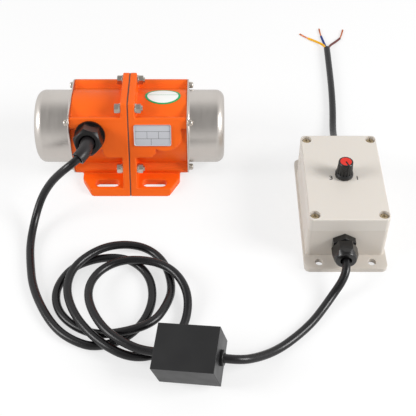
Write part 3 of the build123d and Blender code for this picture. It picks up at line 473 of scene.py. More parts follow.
@dataclass(frozen=True)
class OvalPaper(Finish):
    """White label with a coloured rim and one thin rule, laid out on its plan."""

    rim: Colour = (18, 164, 92)
    centre: tuple[float, float] = (0.031, 0.0012)
    half: tuple[float, float] = (0.0165, 0.0105)
    rim_start: float = 0.865
    rim_soft: float = 0.02
    rule_height: float = 0.13
    rule_half: float = 0.035
    rule_ink: float = 0.55
    wander: float = 300.0
    fibre: float = 700.0
    fibre_depth: float = 0.00001

    def fill(self, mixer: Mixer) -> None:
        """Rim by distance from the oval's middle, rule by height.

        Args:
            mixer: The material under construction.
        """
        (x, y), (half_x, half_y) = self.centre, self.half
        plan = mixer.mapped((1 / half_x, 1 / half_y, 0), (-x / half_x, -y / half_y, 0))
        distance = mixer.node("ShaderNodeVectorMath", {"operation": "LENGTH"})
        mixer.plug(distance.inputs[0], plan)
        rim_end = self.rim_start + self.rim_soft
        rim = mixer.spread(distance.outputs["Value"], 0.0, 1.0, self.rim_start, rim_end)
        across = mixer.node("ShaderNodeSeparateXYZ", Vector=plan).outputs["Y"]
        offset = mixer.combine(across, Operation.SUBTRACT, self.rule_height)
        near = mixer.combine(mixer.combine(offset, Operation.ABSOLUTE), Operation.LESS_THAN, self.rule_half)
        ink = mixer.combine(near, Operation.MULTIPLY, self.rule_ink)
        colour = mixer.blend(srgb(*self.colour), srgb(*self.rim), ink)
        mixer.set(
            Base_Color=mixer.blend(colour, srgb(*self.rim), rim),
            Roughness=self.sheen(mixer, mixer.noise(self.wander), 0.05, 0.05),
            Normal=mixer.bump(mixer.noise(self.fibre), self.fibre_depth, strength=0.3),
        )


ORANGE_COAT = PowderCoat("orange_powder_coat", (254, 107, 22), 0.42, gloss=0.3)
DRAWN_STEEL = Metal(
    "drawn_cover_steel", (208, 202, 196), 0.34, stain=(176, 170, 162), grain=Grain.AROUND_SHAFT,
)
NICKEL = Metal("nickel_plate", (206, 198, 188), 0.30, stains=0.45)
BRASSY = Metal("passivated_screw", (190, 172, 140), 0.34, stain=(104, 84, 60), stains=0.5)
BLACK_STEEL = Metal("black_oxide_steel", (46, 45, 46), 0.45)
GROUND_STEEL = Metal("ground_steel", (190, 190, 192), 0.22)
PLATE_STEEL = Metal("cut_steel_plate", (150, 148, 146), 0.42, stains=0.4)
CAST_ALUMINIUM = Metal("cast_aluminium", (196, 196, 198), 0.48, depth=0.00004)
FOIL = Metal(
    "plate_foil", (202, 203, 208), 0.46, stain=(186, 188, 196), depth=0.000004, metallic=0.25,
)
COPPER = Metal("bare_copper", (214, 128, 84), 0.34, stain=(150, 74, 44))
CORE_SHEETS = Laminated("core_sheets", (128, 128, 132), 0.5)
WINDING = Laminated("enamelled_winding", (190, 96, 48), 0.35, line=(92, 38, 18), pitch=0.0009)
BLACK_NYLON = Moulding(
    "black_nylon", (13, 12, 12), 0.20, 0.6, rubbed=(40, 36, 36), rub=0.0, depth=0.000004,
)
MATT_NYLON = Moulding(
    "matt_black_nylon", (18, 16, 16), 0.36, 0.35, rubbed=(44, 40, 40), rub=0.0, depth=0.000006,
)
BLACK_CASE = Moulding(
    "black_case_plastic", (23, 23, 24), 0.36, 0.45, rubbed=(48, 47, 48), rub=0.0, grain=1500,
)
KNOB_BLACK = Moulding(
    "knob_black", (18, 18, 19), 0.28, 0.45, rubbed=(50, 48, 50), rub=0.0, depth=0.000006,
)
RED_CAP = Moulding("red_cap", (222, 44, 30), 0.36, rubbed=(240, 84, 66), rub=0.0)
WHITE_CASE = Moulding(
    "white_case_plastic", (223, 216, 207), 0.42, rubbed=(232, 226, 218), rub=0.0, body=0.06,
)
# Same white plastic as the lid, painted a little darker: painted shade on the base's walls, which catch less
# light than the lid.
WHITE_PLASTIC_SHADED = Moulding(
    "white_plastic_painted_shade", (217, 209, 199), 0.44, rubbed=(228, 220, 210), rub=0.0, body=0.06,
)
BLACK_RUBBER = Moulding("black_rubber", (18, 17, 18), 0.36, rubbed=(44, 42, 42), rub=0.0, grain=900)
GREY_RUBBER = Moulding("grey_rubber", (70, 70, 70), 0.6)
SLEEVE_RUBBER = Moulding("sleeve_rubber", (30, 27, 28), 0.34, rubbed=(62, 58, 60), grain=700)
CABLE = Sheath("cable_sheath", (14, 13, 15), 0.27, 0.42)
YELLOW = Moulding("yellow_insulation", (252, 186, 0), 0.38, rubbed=(255, 200, 40), rub=0.0)
BLUE = Moulding("blue_insulation", (8, 42, 124), 0.38, rubbed=(30, 70, 150), rub=0.0)
BROWN = Moulding("brown_insulation", (104, 48, 44), 0.40, rubbed=(130, 76, 66), rub=0.0)
BOARD = Moulding("board_lacquer", (22, 92, 50), 0.35, rubbed=(60, 130, 84))
TERMINAL = Moulding("terminal_green", (26, 120, 66), 0.40, rubbed=(70, 150, 100))
FILM = Moulding("capacitor_film", (206, 190, 140), 0.45, rubbed=(226, 214, 176))
INK = Moulding("printed_ink", (74, 70, 68), 0.55, rubbed=(96, 92, 88), rub=0.0)
PLATE_INK = Moulding("plate_ink", (62, 62, 68), 0.5)
LABEL = OvalPaper("oval_label_paper", (247, 249, 246), 0.34)


# ---------------------------------------------------------------- bench work
def clear_selection() -> None:
    """Leave edit mode and deselect everything."""
    active = bpy.context.view_layer.objects.active
    if active and active.mode != "OBJECT":
        bpy.ops.object.mode_set(mode="OBJECT")
    bpy.ops.object.select_all(action="DESELECT")


def take(*pieces: bpy.types.Object) -> None:
    """Select some pieces and nothing else.

    Args:
        pieces: The pieces, the one to be active first.
    """
    clear_selection()
    for piece in pieces:
        piece.select_set(True)
    bpy.context.view_layer.objects.active = pieces[0]


@contextmanager
def editing(piece: bpy.types.Object) -> Iterator[None]:
    """Keep one piece in edit mode for the lines under a with statement.

    Args:
        piece: The mesh.

    Yields:
        Nothing.
    """
    take(piece)
    bpy.ops.object.mode_set(mode="EDIT")
    yield
    bpy.ops.object.mode_set(mode="OBJECT")


def put_in_scene(name: str, data: bpy.types.ID) -> bpy.types.Object:
    """Make an object of some data and put it in the scene.

    Args:
        name: The object's name.
        data: Its mesh, curve, lamp or camera.

    Returns:
        The object.
    """
    piece = bpy.data.objects.new(name, data)
    bpy.context.scene.collection.objects.link(piece)
    return piece


def apply_modifier(piece: bpy.types.Object, kind: str, **settings: object) -> None:
    """Add a modifier and apply it.

    Args:
        piece: The mesh.
        kind: The modifier's type.
        settings: Its properties.
    """
    take(piece)
    modifier = piece.modifiers.new(kind.title(), kind)
    for key, value in settings.items():
        setattr(modifier, key, value)
    bpy.ops.object.modifier_apply(modifier=modifier.name)


def smooth(piece: bpy.types.Object, degrees: float = 35.0) -> None:
    """Shade a piece smooth up to an angle."""
    take(piece)
    bpy.ops.object.shade_smooth_by_angle(angle=math.radians(degrees))


def freeze(piece: bpy.types.Object, name: str) -> bpy.types.Object:
    """Put a piece's place into its mesh and name it.

    Args:
        piece: The mesh object.
        name: Its name.

    Returns:
        The piece.
    """
    take(piece)
    bpy.ops.object.transform_apply(location=True, rotation=True, scale=True)
    piece.name = name
    piece.data.name = name
    return piece


def block(name: str, half: Point, centre: Point) -> bpy.types.Object:
    """Rectangular block.

    Args:
        name: Its name.
        half: Half its size along each axis.
        centre: Its middle.

    Returns:
        The block.
    """
    clear_selection()
    bpy.ops.mesh.primitive_cube_add(size=2)
    piece = bpy.context.active_object
    piece.scale = half
    piece.location = centre
    return freeze(piece, name)


def paint(piece: bpy.types.Object, *finishes: Finish) -> None:
    """Give a piece its finishes.

    Args:
        piece: The mesh or curve object.
        finishes: The finishes, one to a slot.
    """
    piece.data.materials.clear()
    for finish in finishes:
        piece.data.materials.append(finish.material())


def dress_nodes(finish: Finish, *nodes: str) -> None:
    """Finish CAD nodes that stay as they are.

    Args:
        finish: Their finish.
        nodes: Their names.
    """
    for node in nodes:
        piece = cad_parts[node]
        for slot in piece.material_slots:
            slot.material = finish.material()
        if not piece.material_slots:
            piece.data.materials.append(finish.material())


def copy_of(node: str, name: str) -> bpy.types.Object:
    """Merged copy of a CAD node's mesh.

    Args:
        node: The node's name.
        name: The copy's name.

    Returns:
        The copy.
    """
    piece = put_in_scene(name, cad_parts[node].data.copy())
    with editing(piece):
        bpy.ops.mesh.select_all(action="SELECT")
        bpy.ops.mesh.remove_doubles(threshold=MERGE_DISTANCE)
    return piece


def hand_over(
    piece: bpy.types.Object, nodes: Sequence[str] = (), body: Body = Body.HOUSING,
) -> bpy.types.Object:
    """Tell the frame what a piece rides on and stands for.

    Args:
        piece: The finished piece.
        nodes: The CAD nodes it replaces.
        body: The body it rides on.

    Returns:
        The piece.
    """
    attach(piece, body.value)
    if nodes:
        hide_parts(*nodes)
    log.info("%s on %s, %d faces", piece.name, body.value, len(getattr(piece.data, "polygons", ())))
    return piece


@dataclass(frozen=True)
class Treatment:
    """How the copy of a CAD node is shaped before it takes the node's place."""

    def shape(self, piece: bpy.types.Object) -> None:
        """Shape the copy.

        Args:
            piece: The merged copy of the node.
        """
        raise NotImplementedError

    def make(self, node: str, slot: str, finish: Finish, body: Body = Body.HOUSING) -> bpy.types.Object:
        """Replace a CAD node by its shaped and finished copy.

        Args:
            node: The node's name.
            slot: The material slot's name; not used.
            finish: Its finish.
            body: The body it rides on.

        Returns:
            The new piece.
        """
        piece = copy_of(node, f"{node}_finished")
        self.shape(piece)
        paint(piece, finish)
        return hand_over(piece, [node], body)


@dataclass(frozen=True)
class Rounded(Treatment):
    """Broken edges: width, steps, the least angle that is broken and the most that counts as flat."""

    width: float
    segments: int = 2
    angle: float = 32.0
    flat: float = 0.4

    def shape(self, piece: bpy.types.Object) -> None:
        """Join the flats' triangles, then bevel the edges.

        Args:
            piece: The merged copy of the node.
        """
        with editing(piece):
            bpy.ops.mesh.select_all(action="SELECT")
            bpy.ops.mesh.dissolve_limited(angle_limit=math.radians(self.flat))
        apply_modifier(
            piece, "BEVEL", width=self.width, segments=self.segments,
            limit_method="ANGLE", angle_limit=math.radians(self.angle), use_clamp_overlap=True,
        )
        smooth(piece)
        apply_modifier(piece, "WEIGHTED_NORMAL", keep_sharp=True)


@dataclass(frozen=True)
class Cast(Treatment):
    """Softened casting: a fine skin over the solid, smoothed and thinned."""

    voxel: float = 0.0006
    passes: int = 6
    factor: float = 0.5
    keep: float = 0.35
    angle: float = 60.0

    def shape(self, piece: bpy.types.Object) -> None:
        """Lay the skin, relax it and thin it.

        Args:
            piece: The merged copy of the node.
        """
        apply_modifier(piece, "REMESH", mode="VOXEL", voxel_size=self.voxel)
        apply_modifier(piece, "SMOOTH", factor=self.factor, iterations=self.passes)
        apply_modifier(piece, "DECIMATE", decimate_type="COLLAPSE", ratio=self.keep)
        smooth(piece, self.angle)


CASE_EDGE = Rounded(0.0007, 3)
GLAND_EDGE = Rounded(0.0005, 3)
SHEET_EDGE = Rounded(0.0003)
FASTENER_EDGE = Rounded(0.00018)
LID_SCREW_EDGE = Rounded(0.00015)
CAP_EDGE = Rounded(0.00012)


# ---------------------------------------------------------------- cords
class Lie(Enum):
    LOOSE = "loose"
    COILED = "coiled"


class FarEnd(Enum):
    FITTING = "fitting"
    OBJECT = "object"
    BARE = "bare"


class Line(Enum):
    """Kinds of spline."""

    SMOOTH = "NURBS"
    STRAIGHT = "POLY"


def round_curve(
    name: str, points: Sequence[Point], radius: float, line: Line, steps: int,
) -> bpy.types.Object:
    """Curve of one open spline with a round section.

    Args:
        name: The piece's name.
        points: The spline's points.
        radius: The section's radius.
        line: The kind of spline.
        steps: Fineness of the section.

    Returns:
        The curve object.
    """
    curve = bpy.data.curves.new(name, "CURVE")
    curve.dimensions = "3D"
    curve.bevel_depth = radius
    curve.bevel_resolution = steps
    spline = curve.splines.new(line.value)
    spline.points.add(len(points) - 1)
    for control, point in zip(spline.points, points):
        control.co = (*point, 1.0)
    return put_in_scene(name, curve)


def cord_curve(name: str, points: Sequence[Point], diameter: float, finish: Finish) -> bpy.types.Object:
    """Round cord on one smooth open spline.

    Args:
        name: The piece's name.
        points: The spline's control points.
        diameter: The cord's diameter.
        finish: Its finish.

    Returns:
        The curve object.
    """
    piece = round_curve(name, points, diameter / 2, Line.SMOOTH, steps=6)
    piece.data.use_fill_caps = True
    spline = piece.data.splines[0]
    spline.order_u = 3
    spline.use_endpoint_u = True
    spline.resolution_u = 10
    piece.data.materials.append(finish.material())
    return piece


def centreline(piece: bpy.types.Object) -> list[Vector]:
    """Points along a cord's spline.

    Args:
        piece: The cord.

    Returns:
        The points, in order.
    """
    bare = piece.data.copy()
    bare.bevel_depth = 0.0
    holder = bpy.data.objects.new("centreline", bare)
    mesh = bpy.data.meshes.new_from_object(holder)
    points = [vertex.co.copy() for vertex in mesh.vertices]
    bpy.data.objects.remove(holder)
    bpy.data.meshes.remove(mesh)
    bpy.data.curves.remove(bare)
    return points


def stretch_of(points: Sequence[Vector], start: float, end: float) -> list[Vector]:
    """The part of a line between two distances from its start.

    Args:
        points: The line.
        start: Where the part begins.
        end: Where it ends.

    Returns:
        The part's points.
    """
    part = []
    run = 0.0
    for a, b in zip(points, points[1:]):
        step = (b - a).length
        for distance in (start, end):
            if run <= distance < run + step:
                part.append(a.lerp(b, (distance - run) / step))
        if start < run + step < end:
            part.append(b)
        run += step
    return part


def tube_along(name: str, points: Sequence[Vector], radius: float, wall: float) -> bpy.types.Object:
    """Open sleeve of one wall thickness along a line.

    Args:
        name: The piece's name.
        points: The line.
        radius: Outer radius.
        wall: Wall thickness.

    Returns:
        The sleeve's mesh object.
    """
    take(round_curve(name, points, radius, Line.STRAIGHT, steps=8))
    bpy.ops.object.convert(target="MESH")
    piece = bpy.context.view_layer.objects.active
    with editing(piece):
        bpy.ops.mesh.select_all(action="SELECT")
        bpy.ops.mesh.normals_make_consistent(inside=False)
    apply_modifier(piece, "SOLIDIFY", thickness=wall, offset=-1.0)
    lip, sharp = wall / 5, math.radians(50)
    apply_modifier(piece, "BEVEL", width=lip, segments=2, limit_method="ANGLE", angle_limit=sharp)
    smooth(piece)
    return freeze(piece, name)


@dataclass
class PadPlane:
    """Sloping front of the motor, which carries the gland and the nameplate."""

    half_foot: float = 0.0558
    half_top: float = 0.0231
    height: float = 0.085

    @property
    def angle(self) -> float:
        """Lean of the plane from upright."""
        return math.atan2(self.half_foot - self.half_top, self.height)

    @property
    def normal(self) -> Vector:
        """Direction out of the motor."""
        return Vector((0, -math.cos(self.angle), math.sin(self.angle)))

    def spot(self, x: float, z: float, proud: float = 0.0) -> Vector:
        """Point on the plane.

        Args:
            x: Place along the shaft.
            z: Height.
            proud: Distance in front of the plane.

        Returns:
            The point.
        """
        foot = Vector((x, z * math.tan(self.angle) - self.half_foot, z))
        return foot + self.normal * proud

    def stand(self, x: float, z: float) -> Matrix:
        """Placement whose Z points out of the plane and whose X runs along the shaft."""
        turn = Euler((math.pi / 2 - self.angle, 0, 0)).to_matrix().to_4x4()
        return Matrix.Translation(self.spot(x, z)) @ turn


@dataclass
class LooseTurns:
    """Loose turns of the lead: an oval that drifts and swells, with a hump at each crossing.

    Angles are in degrees and the rows in millimetres.  The oval's middle and half-sizes are given at each
    station, heights are those of the lead's middle, and bulges say how far the lead strays out of the oval.
    """

    first: float = -68.0
    last: float = 984.0
    turn_points: int = 14
    station_start: float = -100.0
    station_step: float = 100.0
    centre_x: tuple[float, ...] = (-38.5, -22.5, -2.5, -5, -18.5, -8.5, -0.5, 20, 21, 12.5, 9.5, 11)
    centre_y: tuple[float, ...] = (
        -190, -192.5, -183, -167.5, -169, -182.5, -191.5, -190, -185.5, -183, -178.5, -188,
    )
    half_width: tuple[float, ...] = (36, 48, 54.5, 53, 58.5, 54, 56.5, 40.5, 36.5, 39, 37.5, 34)
    half_depth: tuple[float, ...] = (37.5, 51.5, 51.5, 45.5, 49, 74, 59.5, 57, 45, 40.5, 40, 50.5)
    heights: tuple[tuple[float, float], ...] = (
        (255, 3.6), (266, 4.0), (291, 12.6), (338, 11.4), (370, 3.6), (428, 3.6), (452, 11.4), (505, 11.4),
        (530, 10.5), (570, 11.4), (612, 11.4), (640, 5.0), (655, 3.6), (700, 3.6), (735, 11.0),
        (760, 12.6), (795, 11.4), (850, 11.4), (900, 13.0), (940, 18.8), (1000, 18.0),
    )
    bulges: tuple[tuple[float, float], ...] = (
        (-68, -0.9), (-42, 0.9), (-17, 0.3), (9, -0.7), (35, -1.6), (60, -2.2), (86, -1.5), (112, -0.9),
        (137, 0.0), (163, -2.1), (189, -0.7), (214, 0.2), (240, -0.6), (266, 1.0), (291, 6.5), (317, 4.4),
        (343, -1.4), (368, -0.3), (394, 0.1), (420, -0.9), (445, -3.8), (471, -1.2), (496, 0.6),
        (522, 0.8), (548, -0.3), (573, -1.0), (599, -0.6), (625, -0.4), (650, 0.0), (702, 0.2), (727, 0.7),
        (753, -0.4), (779, -0.8), (804, -0.9), (830, -0.3), (856, 0.0), (933, 0.1), (958, 0.4), (984, 0.0),
    )

    def along(self, row: Sequence[float], angle: float) -> float:
        """Value of one of the ovals' measures.

        Args:
            row: The measure at each station.
            angle: Angle along the turns.

        Returns:
            The measure, in a straight line from station to station.
        """
        place = (angle - self.station_start) / self.station_step
        index = min(int(place), len(row) - 2)
        return row[index] + (row[index + 1] - row[index]) * (place - index)

    def between(self, stops: Sequence[tuple[float, float]], angle: float) -> float:
        """Height or bulge at an angle.

        Args:
            stops: Angle and value of each stop.
            angle: Angle along the turns.

        Returns:
            The value, in a straight line from stop to stop.
        """
        previous = (self.first - 1, stops[0][1])
        for stop in stops:
            if angle <= stop[0]:
                share = (angle - previous[0]) / (stop[0] - previous[0])
                return previous[1] + (stop[1] - previous[1]) * share
            previous = stop
        return previous[1]

    def points(self) -> list[Point]:
        """Control points of all the turns.

        Returns:
            The points, in order from the motor.
        """
        count = round((self.last - self.first) / 360 * self.turn_points)
        route = []
        for index in range(count + 1):
            angle = self.first + (self.last - self.first) * index / count
            turn, bulge = math.radians(angle), self.between(self.bulges, angle)
            half_width = self.along(self.half_width, angle) + bulge
            half_depth = self.along(self.half_depth, angle) + bulge
            x = self.along(self.centre_x, angle) + half_width * math.cos(turn)
            y = self.along(self.centre_y, angle) + half_depth * math.sin(turn)
            route.append((x * MM, y * MM, self.between(self.heights, angle) * MM))
        return route


# ---------------------------------------------------------------- sub-assemblies
@dataclass
class CapacitorBox:
    """In-line box with the running capacitor, standing tilted on its lead."""

    length: float = 0.0498
    width: float = 0.0376
    height: float = 0.030
    wall: float = 0.002
    place: tuple[float, float] = (0.0585, -0.2486)
    tilt: Point = (15.0, -8.8, -10.9)
    link_drop: float = 0.0025

    @property
    def turn(self) -> Matrix:
        """Turn of the box about X, then Y, then Z."""
        x, y, z = (math.radians(angle) for angle in self.tilt)
        return Matrix.Rotation(z, 4, "Z") @ Matrix.Rotation(y, 4, "Y") @ Matrix.Rotation(x, 4, "X")

    @property
    def lift(self) -> float:
        """Height of the box's middle, with its lowest corner on the floor."""
        x, y = math.radians(self.tilt[0]), math.radians(self.tilt[1])
        return (
            self.length / 2 * abs(math.sin(y))
            + self.width / 2 * math.cos(y) * math.sin(x)
            + self.height / 2 * math.cos(y) * math.cos(x)
        )

    def axis(self, distance: float, drop: float = 0.0) -> Point:
        """Point at a distance along the box from its middle, and below its long axis."""
        middle = Vector((*self.place, self.lift))
        return tuple(middle + self.turn.to_3x3() @ Vector((distance, 0, -drop)))

    def build(self) -> list[bpy.types.Object]:
        """Make the box's pieces.

        Returns:
            The pieces that lie on the cord.
        """
        case = SHEET_EDGE.make("capacitor_case", "black_plastic", BLACK_CASE)
        grommets = SHEET_EDGE.make("capacitor_grommets", "black_rubber", BLACK_RUBBER)
        dress_nodes(BLACK_CASE, "capacitor_cover")
        dress_nodes(FILM, "capacitor_block")
        inner = [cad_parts[node] for node in ("capacitor_cover", "capacitor_block")]
        return [case, grommets, *inner]


@dataclass
class Leads:
    """The lead from the motor to the box, the link to the controller and the supply lead."""

    box: CapacitorBox
    pad: PadPlane = field(default_factory=PadPlane)
    turns: LooseTurns = field(default_factory=LooseTurns)
    diameter: float = 0.0072
    supply_diameter: float = 0.0069
    inset: float = 0.001
    gland_x: float = -0.035
    gland_z: float = 0.057
    gland_run: tuple[float, ...] = (0.014, 0.022)
    tail_straight: float = 0.012
    sleeve_start: float = 0.0020
    sleeve_end: float = 0.0405
    sleeve_radius: float = 0.0062
    sleeve_wall: float = 0.0014
    output: Point = (0.190, -0.13225, 0.0215)
    output_reach: float = 0.0215
    output_collar: float = 0.013
    output_straight: float = 0.004
    output_lean: float = 0.0008
    output_sag: float = 0.0006
    link_straight: float = 0.013
    link_sag: float = 0.0034
    supply: Point = (0.195, -0.02575, 0.022)
    supply_straight: float = 0.010
    motor_points: tuple[Point, ...] = (
        (-0.0356, -0.0636, 0.0657),
        (-0.0401, -0.0724, 0.0649),
        (-0.0484, -0.0785, 0.0612),
        (-0.0582, -0.0788, 0.0519),
        (-0.0683, -0.0784, 0.0394),
        (-0.0777, -0.0816, 0.0241),
        (-0.0836, -0.0940, 0.0105),
        (-0.0857, -0.1180, 0.0037),
        (-0.0821, -0.1420, 0.0036),
        (-0.0766, -0.1670, 0.0036),
        (-0.0641, -0.1932, 0.0036),
        (-0.0505, -0.2121, 0.0036),
        (-0.0353, -0.2231, 0.0036),
    )
    link_points: tuple[Point, ...] = (
        (0.1134, -0.2442, 0.0126),
        (0.1292, -0.2316, 0.0045),
        (0.1445, -0.2187, 0.0036),
        (0.1587, -0.2043, 0.0036),
        (0.1690, -0.1900, 0.0037),
        (0.1781, -0.1778, 0.0070),
        (0.1869, -0.1680, 0.0145),
    )
    supply_points: tuple[Point, ...] = (
        (0.1966, -0.0020, 0.0175),
        (0.1977, 0.0160, 0.0085),
        (0.1990, 0.0360, 0.0042),
        (0.2018, 0.0620, 0.0035),
        (0.2040, 0.0960, 0.0035),
        (0.2052, 0.1340, 0.0035),
        (0.2060, 0.1720, 0.0035),
    )

    def declare(
        self, piece: bpy.types.Object, nodes: Sequence[str],
    ) -> None:
        """Hand a cord over in place of its CAD nodes; its centreline is worked out but not used.

        Args:
            piece: The cord's curve.
            nodes: The CAD nodes it replaces.
        """
        line = centreline(piece)
        hand_over(piece, nodes)

    def motor_lead(self) -> bpy.types.Object:
        """Lay the lead from inside the gland through the loose turns into the box.

        Returns:
            The cord's curve.
        """
        half = self.box.length / 2
        start = [self.pad.spot(self.gland_x, self.gland_z, proud) for proud in (self.inset, *self.gland_run)]
        end = [self.box.axis(-half - self.tail_straight), self.box.axis(self.box.wall - half)]
        points = [*map(tuple, start), *self.motor_points, *self.turns.points(), *end]
        return cord_curve("motor_lead_cable", points, self.diameter, CABLE)

    def link_lead(self) -> bpy.types.Object:
        """Lay the lead from the box's other end into the controller's gland.

        Returns:
            The cord's curve.
        """
        half, drop = self.box.length / 2, self.box.link_drop
        x, y, z = self.output
        points = [
            self.box.axis(half - self.box.wall, drop),
            self.box.axis(half + self.link_straight, drop + self.link_sag),
            *self.link_points,
            (x + self.output_lean, y - self.output_reach - self.output_straight, z - self.output_sag),
            (x, y - self.output_collar + self.inset, z),
        ]
        return cord_curve("link_lead_cable", points, self.diameter, CABLE)

    def supply_lead(self) -> bpy.types.Object:
        """Lay the lead from the controller's back wall to the stripped end.

        Returns:
            The cord's curve.
        """
        x, y, z = self.supply
        points = [(x, y - self.inset, z), (x, y + self.supply_straight, z), *self.supply_points]
        return cord_curve("supply_lead_cable", points, self.supply_diameter, CABLE)

    def sleeve(self, lead: bpy.types.Object) -> bpy.types.Object:
        """Draw the soft sleeve over the lead where it leaves the gland.

        Args:
            lead: The motor lead's curve.

        Returns:
            The sleeve.
        """
        line = stretch_of(centreline(lead), self.sleeve_start, self.sleeve_end)
        piece = tube_along("lead_sleeve_finished", line, self.sleeve_radius, self.sleeve_wall)
        paint(piece, SLEEVE_RUBBER)
        return hand_over(piece, ["lead_sleeve"])

    def build(self, box_pieces: Sequence[bpy.types.Object], core_pieces: Sequence[bpy.types.Object]) -> None:
        """Args:
            box_pieces: The capacitor box's pieces.
            core_pieces: The supply lead's cores and their copper ends; not used.
        """
        motor = self.motor_lead()
        on_it = [self.sleeve(motor), *box_pieces]
        self.declare(motor, ["motor_lead", "lead_coil"])
        self.declare(self.link_lead(), ["link_lead"])
        supply = self.supply_lead()
        self.declare(supply, ["supply_lead"])


@dataclass(frozen=True)
class Core:
    """One core: its node, slot and finish, its own points and those of its bare copper end."""

    node: str
    slot: str
    finish: Finish
    points: tuple[Point, ...]
    copper: tuple[Point, ...]


@dataclass
class SupplyCores:
    """The three cores that fan out of the supply lead, with stranded copper ends."""

    diameter: float = 0.0026
    strand: float = 0.00052
    strand_ring: float = 0.00050
    strands: int = 6             # round the middle one
    twist: float = 260.0         # radians to the metre
    copper_length: float = 0.017
    fray: float = 0.5            # how much wider the strands stand at their end
    cores: tuple[Core, ...] = (
        Core(
            "yellow_core", "yellow_insulation", YELLOW,
            (
                (0.2044, 0.172, 0.0043), (0.2032, 0.178, 0.0036),
                (0.1965, 0.187, 0.0016), (0.187, 0.194, 0.0013),
            ),
            ((0.187, 0.194, 0.0013), (0.1825, 0.198, 0.0011), (0.178, 0.203, 0.0010)),
        ),
        Core(
            "blue_core", "blue_insulation", BLUE,
            (
                (0.206, 0.172, 0.0016), (0.2052, 0.1795, 0.0014),
                (0.2034, 0.189, 0.0013), (0.202, 0.198, 0.0013),
            ),
            ((0.202, 0.198, 0.0013), (0.2012, 0.2055, 0.0011), (0.201, 0.213, 0.0010)),
        ),
        Core(
            "brown_core", "brown_insulation", BROWN,
            (
                (0.2076, 0.172, 0.0043), (0.210, 0.178, 0.0034),
                (0.217, 0.1865, 0.0016), (0.223, 0.194, 0.0013),
            ),
            ((0.223, 0.194, 0.0013), (0.226, 0.202, 0.0011), (0.228, 0.211, 0.0010)),
        ),
    )

    def strands_of(self, core: Core) -> list[bpy.types.Object]:
        """Twisted strands of one core's copper end.

        Args:
            core: The core.

        Returns:
            One curve for each strand.
        """
        guide = cord_curve(f"{core.node}_guide", core.copper, self.strand, COPPER)
        line = centreline(guide)
        bpy.data.objects.remove(guide)
        pieces = []
        for index in range(self.strands + 1):
            ring = self.strand_ring if index else 0.0
            phase = 2 * math.pi * index / self.strands
            run = 0.0
            points = []
            for before, point, after in zip([line[0], *line], line, [*line[1:], line[-1]]):
                run += (point - before).length
                ahead = (after - before).normalized()
                side = ahead.cross(Vector((0, 0, 1))).normalized()
                up = side.cross(ahead)
                spread = ring * (1 + self.fray * run / self.copper_length)
                turn = phase + run * self.twist
                points.append(point + side * spread * math.cos(turn) + up * spread * math.sin(turn))
            pieces.append(cord_curve(f"{core.node}_strand_{index}", points, self.strand, COPPER))
        return pieces

    def build(self) -> list[bpy.types.Object]:
        """Make the cores and the copper ends.

        Returns:
            All the pieces at the supply lead's end.
        """
        pieces = []
        strands = []
        for core in self.cores:
            piece = cord_curve(f"{core.node}_wire", core.points, self.diameter, core.finish)
            pieces.append(hand_over(piece, [core.node]))
            strands += self.strands_of(core)
        take(*strands)
        bpy.ops.object.convert(target="MESH")
        bpy.ops.object.join()
        copper = freeze(bpy.context.view_layer.objects.active, "copper_strands")
        smooth(copper, 60)
        pieces.append(hand_over(copper, ["copper_ends"]))
        return pieces


